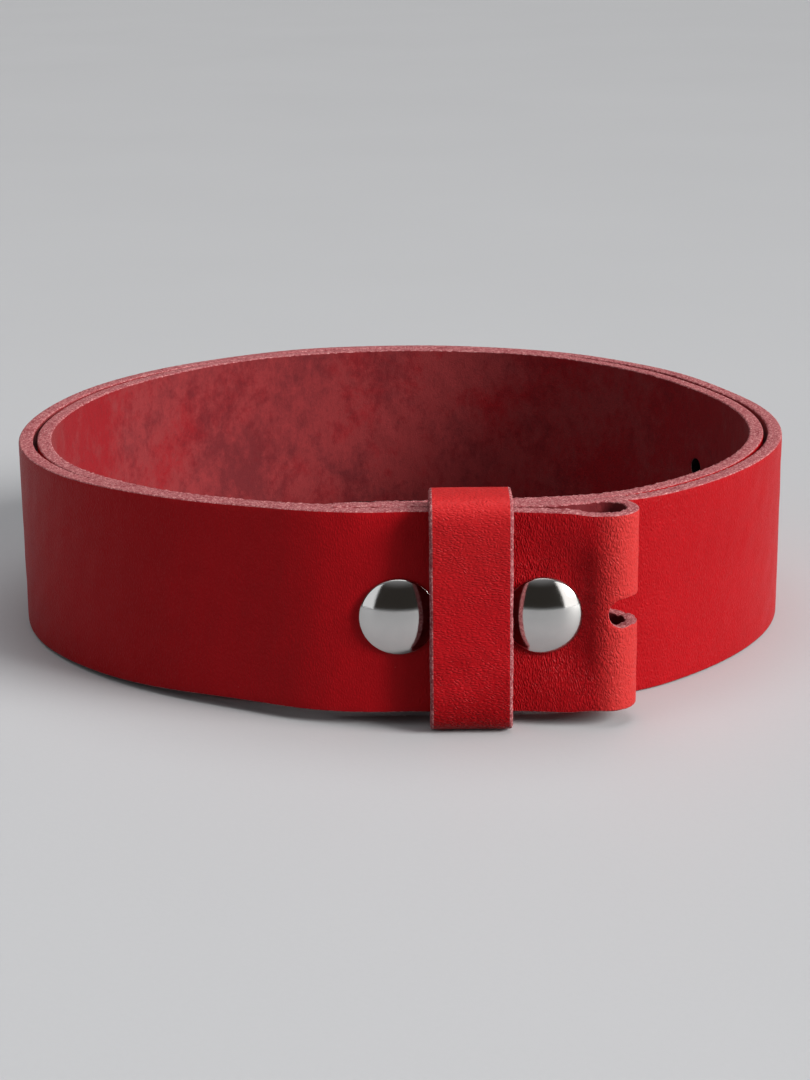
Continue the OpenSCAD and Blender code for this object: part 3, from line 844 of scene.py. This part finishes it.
def revolve(profile, centre, turns=96):
    """A profile of radius and height turned round an axis that points to the front. Its first and
    last points lie on the axis and become poles. Gives points and groups of faces."""
    angle = np.arange(turns) * 2 * np.pi / turns
    inner = profile[1:-1]
    x = centre[0] + inner[:, 0][:, None] * np.cos(angle)
    z = centre[2] + inner[:, 0][:, None] * np.sin(angle)
    y = centre[1] - inner[:, 1][:, None] + 0.0 * angle
    ring = np.stack([x, y, z], -1).reshape(-1, 3)
    poles = np.array([[centre[0], centre[1] - profile[i, 1], centre[2]] for i in (0, -1)])
    grid = np.arange(len(inner) * turns).reshape(len(inner), turns)
    after = np.roll(grid, -1, 1)
    quads = np.stack([grid[:-1], grid[1:], after[1:], after[:-1]], -1).reshape(-1, 4)
    first, last = len(ring), len(ring) + 1
    start = np.stack([np.full(turns, first), grid[0], after[0]], -1)
    end = np.stack([np.full(turns, last), after[-1], grid[-1]], -1)
    return np.concatenate([ring, poles]), [quads, start, end]


def soft_line(corners, blur, step):
    """A line through corners, sampled evenly and averaged with the weights of a bell curve of the
    given width, so that it bends softly round each corner and still starts and ends where it did."""
    corners = np.asarray(corners, float)
    legs = np.linalg.norm(np.diff(corners, axis=0), axis=1)
    at = np.concatenate([[0.0], np.cumsum(legs)])
    even = np.linspace(0.0, at[-1], int(at[-1] / step) + 2)
    points = np.stack([np.interp(even, at, corners[:, i]) for i in range(3)], 1)
    reach = int(3 * blur / step) + 1
    weights = np.exp(-0.5 * (np.arange(-reach, reach + 1) * step / blur) ** 2)
    weights /= weights.sum()
    ahead = 2 * points[0] - points[reach:0:-1]
    behind = 2 * points[-1] - points[-2:-reach - 2:-1]
    padded = np.concatenate([ahead, points, behind])
    points = np.stack([np.convolve(padded[:, i], weights, "valid") for i in range(3)], 1)
    at = np.concatenate([[0.0], np.cumsum(np.linalg.norm(np.diff(points, axis=0), axis=1))])
    along = np.stack([np.gradient(points[:, i], at) for i in range(3)], 1)
    along /= np.linalg.norm(along, axis=1)[:, None]
    return at, points, along


# ---- The pieces -----------------------------------------------------------------------------

def strap_section(size):
    """The strap's outline, with its fine cells in the middle, where its holes are."""
    return section(size.width, size.thickness, 8.0 * MM, 0.5 * MM, 10, 0.35 * MM, 0.25 * MM, 2)


def strap_press(size, line, fit):
    """A function that presses the strap's surface: cut edges waver, the flesh side makes room for
    the sockets and studs, the grain dips round each cap and post, and the leather there ripples.
    Each is a depth times a smooth share of nearness: to an edge, to the slot or to a snap."""
    snaps = (line.left_snap, line.right_snap)
    half, top = size.thickness / 2, size.width / 2

    def press(along, up, depth):
        side = depth / half
        edge = smooth((np.abs(up) - (top - 1.0 * MM)) / (1.0 * MM))
        fuzz = 0.06 * MM * ripple(along, 2.4 * MM, 11, depth)
        fuzz = (fuzz + 0.12 * MM * ripple(along, 1.3 * MM, 12, depth)) * (0.55 - 0.45 * side)
        wave = 0.10 * MM * ripple(along, 46.0 * MM, 13)
        up = up + np.sign(up) * edge * (fuzz + wave - 0.06 * MM)
        by_slot = within(along - line.fold_middle, 8.0 * MM, 2.0 * MM)
        by_slot = by_slot * within(up, 3.3 * MM, 1.4 * MM)
        torn = 0.13 * MM * ripple(along, 1.5 * MM, 16, depth)
        torn = torn + 0.10 * MM * ripple(along, 3.4 * MM, 17, depth)
        up = up + by_slot * torn * (0.8 - 0.5 * side)
        grain, flesh = side > 0.999, side < -0.999
        swell = 0.05 * MM * ripple(along, 9.0 * MM, 14, up) * (1.0 - edge)
        depth = depth + np.where(grain | flesh, swell, 0.0)
        for place in snaps:
            away = np.hypot(along - line.front(place), up + fit.snap_drop)
            socket_seat = 2.06 * MM * within(away, 6.4 * MM, SEAT_WALL)
            depth = depth + np.where(flesh, socket_seat, 0.0)
            dip = 0.22 * MM * hump(np.maximum(away - fit.cap_radius, 0.0), 0.0, 1.5 * MM)
            dip = dip + 0.10 * MM * hump(away, 10.5 * MM, 3.0 * MM)
            pucker = 0.05 * MM * ripple(along, 2.6 * MM, 15, up) * hump(away, 10.0 * MM, 3.5 * MM)
            depth = depth - np.where(grain, dip + pucker, 0.0)
            away = np.hypot(along - line.tail(place), up + fit.snap_drop)
            stud_seat = 0.82 * MM * within(away, 4.9 * MM, SEAT_WALL)
            depth = depth + np.where(flesh, stud_seat, 0.0)
            dip = 0.06 * MM * hump(np.maximum(away - 5.4 * MM, 0.0), 0.0, 1.2 * MM)
            depth = depth - np.where(grain, dip, 0.0)
        return up, depth
    return press


def strap_mark(size, line):
    """A function that gives the strap's marks. On the grain they are how much it is creased,
    stretched, which also paints the fold's highlight, and rubbed; on the flesh, how much it is
    soaked with dye and greyed, where the grey at the fold paints the shade inside it. Each is a
    slow ripple plus humps at the worn, stained and shaded places. The walls of the adjustment
    holes get the full rubbing mark, which paints them near black as shade."""
    def mark(along, up, depth):
        right = line.front(line.right_snap)
        away = np.hypot((along - right) / (11.0 * MM), up / (15.0 * MM))
        creased = hump(away, 0.0, 1.0) * (0.75 + 0.45 * ripple(along, 9.0 * MM, 21, up))
        near_fold = within(along - line.fold_middle, 9.0 * MM, 8.0 * MM)
        creased = creased + 0.55 * near_fold * (0.8 + 0.4 * ripple(along, 12.0 * MM, 22, up))
        creased = creased + 0.10 * ripple(along, 40.0 * MM, 23, up)
        pressed = smooth((line.front(-6.0 * MM) - along) / (24.0 * MM))
        past_front = along > line.wound(FIRST_SEAM)
        creased = np.where(past_front, 0.30, creased + 0.30 * pressed)
        # Paler stretched grain over the fold, which also paints the fold's highlight.
        stretched_and_lit = 0.9 * within(along - line.fold_middle, 4.5 * MM, 6.0 * MM)
        rubbed_and_shaded = 0.25 + 0.25 * ripple(along, 60.0 * MM, 24, up)
        # Hole walls get the full mark, which paints them near black as shade inside the holes.
        in_hole = np.zeros(along.shape)
        inner = np.abs(depth) < 0.98 * line.half
        for place in line.holes:
            away = np.hypot(along - place, up - size.hole_rise)
            in_hole = np.maximum(in_hole, (away < size.hole_radius * 1.02) * inner)
        rubbed_and_shaded = np.maximum(rubbed_and_shaded, in_hole)
        far_right = smooth((along - line.wound(545.0)) / (60.0 * MM))
        soaked = 0.45 * ripple(along, 55.0 * MM, 25, up)
        soaked = soaked + 1.2 * hump(along, line.wound(460.0), 18.0 * MM) + 0.8 * far_right
        greyed_and_shaded = 0.35 * ripple(along, 38.0 * MM, 26, up)
        greyed_and_shaded = greyed_and_shaded + 0.7 * hump(along, line.wound(511.0), 12.0 * MM)
        greyed_and_shaded = greyed_and_shaded - 0.6 * hump(along, line.wound(460.0), 21.0 * MM)
        # The grey hump at the fold paints the shade inside the fold.
        greyed_and_shaded = greyed_and_shaded + 1.3 * hump(along, line.fold_middle, 16.0 * MM) - 0.35 * far_right
        flesh = depth < 0
        first = np.where(flesh, soaked, np.clip(creased, 0.0, 1.0))
        second = np.where(flesh, greyed_and_shaded, stretched_and_lit)
        return np.stack([first, second, rubbed_and_shaded], 1)
    return mark


def hinge_at(size, angle):
    """The middle line's point at an angle wound, and the direction in which the strap runs on there."""
    outward = Vector((-degrees_sin(angle), -degrees_cos(angle), 0.0))
    middle = outward * float(wound_radius(size, angle)) + Vector((ORIGIN_X, ORIGIN_Y, 0.0))
    return middle, Vector((outward.y, -outward.x, 0.0))


def surface_hole(radius):
    """A hole's radius at the leather's two faces, where its rim is rounded."""
    return radius / HOLE_WAIST


class STRAP_OT_band(Operator):
    """Make the strap in three skins, which meet at two seams"""
    bl_idname = "strap.band"
    bl_label = "Strap"

    def execute(self, context):
        size, fit = context.scene.strap_sizes, context.scene.strap_fittings
        finishes = context.scene.strap_finishes
        line = strap_line(size)
        shape = strap_section(size)
        materials = leather_set("strap", leather_looks(finishes), pebble=0.80, crease=0.75,
                                tone=finishes.grain_gloss, slant=28.0)
        press, mark = strap_press(size, line, fit), strap_mark(size, line)
        first, second = line.wound(FIRST_SEAM), line.wound(SECOND_SEAM)
        shank, post = surface_hole(SHANK_HOLE), surface_hole(POST_HOLE)
        slot = surface_hole(size.slot_width / 2)
        slot_end = slot * line.fold_mid / size.fold_radius
        slot_reach = math.pi / 2 * line.fold_mid - slot_end
        drop, left, right = -fit.snap_drop, line.left_snap, line.right_snap
        holes = [(line.tail(x), line.tail(x), drop, post, post) for x in (left, right)]
        slot_ends = (line.fold_middle - slot_reach, line.fold_middle + slot_reach)
        holes += [(*slot_ends, 0.0, slot_end, slot)]
        holes += [(line.front(x), line.front(x), drop, shank, shank) for x in (right, left)]
        first_seam = (first, *SEAM_ZONE)
        second_seam = (second, *SEAM_ZONE)
        zones = [(0.0, 0.5 * MM, 0.2 * MM), first_seam, (line.fold_middle, 12 * MM, 0.42 * MM)]
        zones += [(hole[0], 8.5 * MM, 0.5 * MM) for hole in holes]
        rows = stations(0.0, first, STRAP_STEP, zones)
        piece = make_band("strap_front_skin", line, shape, rows, holes, press, mark, materials)
        hinge, ahead = hinge_at(size, FRONT_ANGLE)
        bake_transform(piece)
        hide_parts("strap_front")

        rows = stations(first, second, STRAP_STEP, [first_seam, second_seam])
        piece = make_band("strap_coil_skin", line, shape, rows, [], press, mark, materials)
        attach(piece, "coil")
        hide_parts("strap_coil")

        radius = surface_hole(size.hole_radius)
        zones = [second_seam, (line.at[-1], 2.0 * MM, 0.2 * MM)]
        zones += [(place, 6 * MM, 0.5 * MM) for place in line.holes]
        rows = stations(second, line.at[-1], STRAP_STEP, zones)
        holes = [(place, place, size.hole_rise, radius, radius) for place in line.holes]
        piece = make_band("strap_tip_skin", line, shape, rows, holes, press, mark, materials)
        hinge, ahead = hinge_at(size, ROOT_ANGLE)
        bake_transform(piece)
        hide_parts("strap_punched", "strap_tip")
        return {"FINISHED"}


JOINT_GAP = 0.1 * MM      # half the gap between the keeper's two ends
KEEPER_RAISE = 0.5 * MM   # how far the keeper's top stands above the solid's, clear of the fold
WIRE = 0.30 * MM          # half thickness of a staple's flattened wire, and half its width
WIRE_HALF_WIDTH = 0.6 * MM
WIRE_SIDES = 16
ACROSS = np.array([1.0, 0.0, 0.0])


def keeper_press(fit, line, shape):
    """A function that presses the keeper's surface: cut edges waver, the faces swell slightly, and
    the leather is pinched under each staple."""
    joints = (0.0, line.at[-1])

    def press(along, up, depth):
        edge = smooth((np.abs(up) - (shape.top - 0.8 * MM)) / (0.8 * MM))
        fuzz = 0.05 * MM * ripple(along, 1.8 * MM, 31, depth)
        fuzz = fuzz + 0.03 * MM * ripple(along, 0.7 * MM, 32, depth)
        up = up + np.sign(up) * edge * (fuzz + 0.05 * MM * ripple(along, 17 * MM, 33))
        face = np.abs(depth) > 0.999 * line.half
        swell = 0.03 * MM * ripple(along, 7 * MM, 34, up) * (1 - edge)
        depth = depth + np.where(face, swell, 0.0)
        to_joint = np.minimum(along - joints[0], joints[1] - along)
        under = within(np.abs(up) - fit.staple_pitch / 2, 0.6 * MM, 0.5 * MM)
        under = under * (1.0 - smooth((to_joint - fit.staple_length / 2) / (0.5 * MM)))
        return up, depth - np.sign(depth) * np.where(face, 0.18 * MM * under, 0.0)
    return press


def keeper_mark(line, low, high):
    """A function that gives the keeper's marks from each place's level, which is -1 at its bottom
    and 1 at its top: its grain is paler towards the top, partly stretched over the bend and partly
    painted highlight, and creased and dulled towards the bottom, which paints shade there."""
    levels = (line.point[:, 2] - (low.z + high.z) / 2) / (high.z - low.z) * 2

    def mark(along, up, depth):
        level = np.interp(along, line.at, levels)
        # Paler towards the top: stretch over the bend and painted highlight.
        bent = smooth((level - 0.80) / 0.22) * 0.36 + smooth((level + 0.1) / 1.0) * 0.18
        # Creases and dulling grow towards the bottom, which paints shade there.
        creased = 0.16 + 0.12 * ripple(along, 12 * MM, 35, up) + 0.2 * smooth(-level - 0.1)
        rubbed_and_shaded = 0.25 + 0.2 * ripple(along, 15 * MM, 36, up) - 1.0 * smooth(-level)
        return np.stack([creased, bent, rubbed_and_shaded], 1)
    return mark


def staple_shapes(places, inside, skin, joint, reach):
    """Points and groups of faces of the staples: at each place, an oval ring carried along a line
    that goes out through the leather, over the joint and back in. A ring's point is the line's
    point plus half the wire's width times a cosine, and half its thickness times a sine."""
    points, groups, count = [], [], 0
    toe = 0.4 * MM
    for here in places:
        corners = [(here, inside, joint - toe), (here, inside, joint - reach),
                   (here, skin, joint - reach), (here, skin, joint + reach),
                   (here, inside, joint + reach), (here, inside, joint + toe)]
        _, spine, forward = soft_line(corners, 0.28 * MM, 0.1 * MM)
        outward = np.cross(forward, ACROSS)
        angle = np.arange(WIRE_SIDES) * 2 * np.pi / WIRE_SIDES
        ring = (spine[:, None] + WIRE_HALF_WIDTH * np.cos(angle)[None, :, None] * ACROSS
                + WIRE * np.sin(angle)[None, :, None] * outward[:, None])
        grid = np.arange(ring.shape[0] * WIRE_SIDES).reshape(-1, WIRE_SIDES) + count
        after = np.roll(grid, -1, 1)
        walls = np.stack([grid[:-1], after[:-1], after[1:], grid[1:]], -1).reshape(-1, 4)
        groups += [(walls, 0), (grid[0][None, ::-1], 0), (grid[-1][None], 0)]
        points.append(ring.reshape(-1, 3))
        count += grid.size
    return np.concatenate(points), groups


class STRAP_OT_keeper(Operator):
    """Make the keeper loop and its two staples"""
    bl_idname = "strap.keeper"
    bl_label = "Keeper"

    def execute(self, context):
        fit, finishes = context.scene.strap_fittings, context.scene.strap_finishes
        low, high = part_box("keeper")
        thick, half = fit.keeper_thickness, fit.keeper_thickness / 2
        x = (low.x + high.x) / 2
        front, back = low.y + half, high.y - half
        bottom, top = low.z + half, high.z - half + KEEPER_RAISE
        joint = (low.z + high.z) / 2
        corners = [(x, back, joint + JOINT_GAP), (x, back, top), (x, front, top),
                   (x, front, bottom), (x, back, bottom), (x, back, joint - JOINT_GAP)]
        at, points, along = soft_line(corners, fit.keeper_bend, 0.05 * MM)
        out = np.cross(along, ACROSS)
        none = np.zeros(len(at))
        line = types.SimpleNamespace(at=at, point=points, out=out, edge_out=out, splay=none,
                                     side=-ACROSS, half=half, skive=none, trim=none)
        shape = section(fit.keeper_width, thick, 6.0 * MM, 0.4 * MM, 4, 0.60 * MM, 0.2 * MM, 3)
        zones = [(0.0, 4.0 * MM, 0.35 * MM), (at[-1], 4.0 * MM, 0.35 * MM)]
        rows = stations(0.0, at[-1], 0.5 * MM, zones)
        looks = leather_looks(finishes)
        # The keeper's paler grain also paints the extra light that falls on it.
        looks["main"] = tuple(finishes.keeper_grain_and_light)
        materials = leather_set("keeper", looks, pebble=1.25, crease=0.12, tone=0.43, slant=-58.0)
        piece = make_band("keeper_loop", line, shape, rows, [], keeper_press(fit, line, shape),
                          keeper_mark(line, low, high), materials)
        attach(piece, "keeper")
        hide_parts("keeper")

        wire_at = fit.staple_pitch / 2
        places = [x + sign * wire_at for sign in (-1.0, 1.0)]
        skin, inside = high.y + 0.05 * MM, high.y - thick + WIRE * 0.3
        points, groups = staple_shapes(places, inside, skin, joint, fit.staple_length / 2 - WIRE)
        steel = metal_material("steel wire", finishes.steel, 0.30, 1.0)
        piece = make_piece("keeper_staple_wires", points, groups, [steel])
        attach(piece, "keeper")
        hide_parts("keeper_staples")
        return {"FINISHED"}


def metal_material(name, colour, rough, wear):
    """One plated or bare metal."""
    shade = tuple(c * METAL_SHADE for c in colour)
    return new_material(name, metal_paint(tuple(colour), shade, rough, wear), Metallic=1.0)


# The underside of a cap and its shank: radius and height of each corner, in millimetres
CAP_SHANK = ((6.9, -0.04), (2.2, -0.04), (1.87, -0.15), (1.85, -1.5), (2.0, -1.66), (2.3, -1.70),
             (2.3, -1.90), (1.9, -1.93), (0.0, -1.93))


def cap_profile(fit):
    """Radius and height of a cap's outline from the top of its dome: an arc of the dome's sphere,
    the rim's smaller arc, which starts in the same direction, and the shank. A point of an arc is
    its centre plus its radius times the sine and cosine of an angle."""
    dome, rim, height = fit.cap_dome, fit.cap_rim, fit.cap_height
    lean = math.asin((fit.cap_radius - rim) / (dome - rim))
    swing = np.linspace(0.0, lean, 26)
    top = np.stack([dome * np.sin(swing), height - dome * (1 - np.cos(swing))], 1)
    swing = np.linspace(lean, math.radians(112), 14)[1:]
    middle = ((dome - rim) * math.sin(lean), height - dome + (dome - rim) * math.cos(lean))
    roll = np.stack([middle[0] + rim * np.sin(swing), middle[1] + rim * np.cos(swing)], 1)
    return np.concatenate([top, roll, np.array(CAP_SHANK) * MM])


class STRAP_OT_snaps(Operator):
    """Make the two snap caps and give the other snap parts their metals"""
    bl_idname = "strap.snaps"
    bl_label = "Snaps"

    def execute(self, context):
        fit = context.scene.strap_fittings
        finishes = context.scene.strap_finishes
        nickel = metal_material("polished nickel", finishes.nickel, 0.085, 0.45)
        brass = metal_material("plated brass", finishes.brass, 0.25, 1.0)
        steel = metal_material("spring steel", finishes.steel, 0.22, 1.0)
        line = strap_line(context.scene.strap_sizes)
        profile = cap_profile(fit)
        for side, place in (("left", line.left_snap), ("right", line.right_snap)):
            centre = (place + ORIGIN_X, line.front_y, line.middle - fit.snap_drop)
            points, tables = revolve(profile, centre)
            groups = [(table, 0) for table in tables]
            piece = make_piece(side + "_snap_cap", points, groups, [nickel], sharp=60.0)
            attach(piece, "front")
            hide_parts(side + "_cap")
            for part, metal in (("socket", brass), ("stud", brass), ("spring", steel), ("post", nickel)):
                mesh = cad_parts[side + "_" + part].data
                mesh.materials.clear()
                mesh.materials.append(metal)
        return {"FINISHED"}


# ---- Stage ----------------------------------------------------------------------------------

# Name, direction to it, spread in degrees, strength and colour of each far lamp
SUNS = (
    ("key lamp", (0.84, -0.38, 0.50), 26.0, 3.25, (1.0, 0.985, 0.96)),
    ("top lamp", (0.10, 0.20, 1.0), 50.0, 0.80, (1.0, 1.0, 1.0)),
)
# Name, place, width and height, watts and colour of each near lamp
AREAS = (
    ("left lamp", (-1.10, -0.80, 0.62), (0.66, 1.25), 2.7, (0.95, 0.98, 1.0)),
    ("right lamp", (1.10, -0.84, 0.62), (0.76, 1.30), 5.4, (1.0, 0.98, 0.96)),
)
LAMP_AIM = (0.0, -0.08, 0.02)
HORIZON, WALLS, CEILING = (0.24, 0.245, 0.25), (0.038, 0.034, 0.030), (0.50, 0.50, 0.51)
FLOOR_REACH = 8.0
FLOOR_LEVEL = -0.05 * MM
CAMERA_PLACE = (0.0008, -0.4936, 0.1584)
CAMERA_DOWN = 16.382      # degrees below the horizon
CAMERA_ROLL = -0.59       # degrees about its own line of sight
CAMERA_LENS = 76.6
CAMERA_FRAME = 36.0       # height of the frame that the lens is given for


def area_lamp(name, place, aim, size, watts, colour):
    """A soft lamp at a place, facing the aim."""
    data = bpy.data.lights.new(name, "AREA")
    data.shape = "RECTANGLE"
    data.size, data.size_y = size
    data.energy = watts
    data.color = colour
    lamp = bpy.data.objects.new(name, data)
    lamp.location = place
    lamp.rotation_euler = (Vector(aim) - Vector(place)).to_track_quat("-Z", "Y").to_euler()
    bpy.context.scene.collection.objects.link(lamp)


def sun_lamp(name, toward, spread, strength, colour):
    """A soft lamp so far away that it lights the floor evenly: toward points to it, and spread is
    in degrees."""
    data = bpy.data.lights.new(name, "SUN")
    data.angle = math.radians(spread)
    data.energy = strength
    data.color = colour
    lamp = bpy.data.objects.new(name, data)
    lamp.rotation_euler = Vector(toward).to_track_quat("Z", "Y").to_euler()
    bpy.context.scene.collection.objects.link(lamp)


def floor_paint(colour):
    """A matt floor with the faintest mottle. The camera, metal and glass see its colour; the light
    that it throws back on the strap is a darker share of it."""
    def paint(tree):
        place = tree.add("ShaderNodeTexCoord", {}, {}, "Object")
        cloud = tree.noise(place, 5.0, 4.0, 0.55)
        grit = tree.noise(place, 900.0, 3.0, 0.6)
        light = tuple(min(1.0, c * 1.04) for c in colour)
        dark = tuple(c * 0.95 for c in colour)
        path = tree.add("ShaderNodeLightPath")
        camera, glossy, through = (Value(tree, path.outputs["Is %s Ray" % kind])
                                   for kind in ("Camera", "Glossy", "Transmission"))
        seen = (camera + glossy).math("ADD", through, clamp=True)
        shown = tree.mix(cloud * 0.7 + grit * 0.3, dark, light)
        bounced = tuple(c * FLOOR_BOUNCE for c in colour)
        return {"Base Color": tree.mix(seen, bounced, shown),
                "Normal": tree.bump(grit, 0.04 * MM, 0.6)}
    return paint


class STRAP_OT_stage(Operator):
    """Make the floor, the lamps, the world and the camera"""
    bl_idname = "strap.stage"
    bl_label = "Stage"

    def execute(self, context):
        scene = context.scene
        span = np.linspace(-FLOOR_REACH, FLOOR_REACH, 9)
        x, y = np.meshgrid(span, span, indexing="ij")
        points = np.stack([x.ravel(), y.ravel(), np.full(x.size, FLOOR_LEVEL)], 1)
        grid = np.arange(x.size).reshape(x.shape)
        quads = np.stack([grid[:-1, :-1], grid[1:, :-1], grid[1:, 1:], grid[:-1, 1:]], -1)
        paint = floor_paint(tuple(scene.strap_finishes.floor))
        material = new_material("floor", paint, Roughness=0.55, Specular_IOR_Level=0.3)
        floor = make_piece("floor", points, [(quads.reshape(-1, 4), 0)], [material])

        for name, toward, spread, strength, colour in SUNS:
            sun_lamp(name, toward, spread, strength, colour)
        for name, lamp_place, size, watts, colour in AREAS:
            area_lamp(name, lamp_place, LAMP_AIM, size, watts, colour)

        world = bpy.data.worlds.new("studio")
        world.use_nodes = True
        tree = Tree(world.node_tree)
        place = tree.add("ShaderNodeTexCoord", {}, {}, "Generated")
        _, _, height = tree.parts(place)
        tone = tree.mix(height.over(0.0, 0.08), HORIZON, WALLS)
        tone = tree.mix(height.over(0.62, 1.0), tone, CEILING)
        ground = tree.add("ShaderNodeBackground", {}, {"Color": tone, "Strength": 1.0})
        out = tree.add("ShaderNodeOutputWorld")
        tree.links.new(ground.outputs[0], out.inputs["Surface"])
        scene.world = world

        data = bpy.data.cameras.new("camera")
        data.sensor_fit = "VERTICAL"
        data.sensor_height = CAMERA_FRAME
        data.lens = CAMERA_LENS
        data.clip_start = 0.01
        camera = bpy.data.objects.new("camera", data)
        pitch = Matrix.Rotation(math.radians(90.0 - CAMERA_DOWN), 4, "X")
        roll = Matrix.Rotation(math.radians(CAMERA_ROLL), 4, "Z")
        camera.matrix_world = Matrix.Translation(CAMERA_PLACE) @ (pitch @ roll)
        scene.collection.objects.link(camera)
        scene.camera = camera
        scene.view_settings.view_transform = "Standard"
        return {"FINISHED"}


class STRAP_PT_panel(Panel):
    """Lists the pieces of the belt strap"""
    bl_idname = "STRAP_PT_panel"
    bl_label = "Belt strap"
    bl_space_type = "VIEW_3D"
    bl_region_type = "UI"
    bl_category = "Belt strap"

    def draw(self, context):
        for operator in OPERATORS:
            self.layout.operator(operator.bl_idname)
        for group in ("strap_sizes", "strap_fittings", "strap_finishes"):
            values = getattr(context.scene, group)
            column = self.layout.column(align=True)
            for name in values.__annotations__:
                column.prop(values, name)


OPERATORS = (STRAP_OT_band, STRAP_OT_keeper, STRAP_OT_snaps, STRAP_OT_stage)
CLASSES = (StrapSizes, FittingSizes, Finishes, *OPERATORS, STRAP_PT_panel)


def register():
    """Adds the classes and their settings to Blender."""
    for item in CLASSES:
        bpy.utils.register_class(item)
    bpy.types.Scene.strap_sizes = PointerProperty(type=StrapSizes)
    bpy.types.Scene.strap_fittings = PointerProperty(type=FittingSizes)
    bpy.types.Scene.strap_finishes = PointerProperty(type=Finishes)


def unregister():
    """Takes the classes and their settings out of Blender."""
    for group in ("strap_sizes", "strap_fittings", "strap_finishes"):
        delattr(bpy.types.Scene, group)
    for item in reversed(CLASSES):
        bpy.utils.unregister_class(item)


def main():
    register()
    bpy.ops.strap.band()
    bpy.ops.strap.keeper()
    bpy.ops.strap.snaps()
    bpy.ops.strap.stage()


if __name__ == "__main__":
    main()
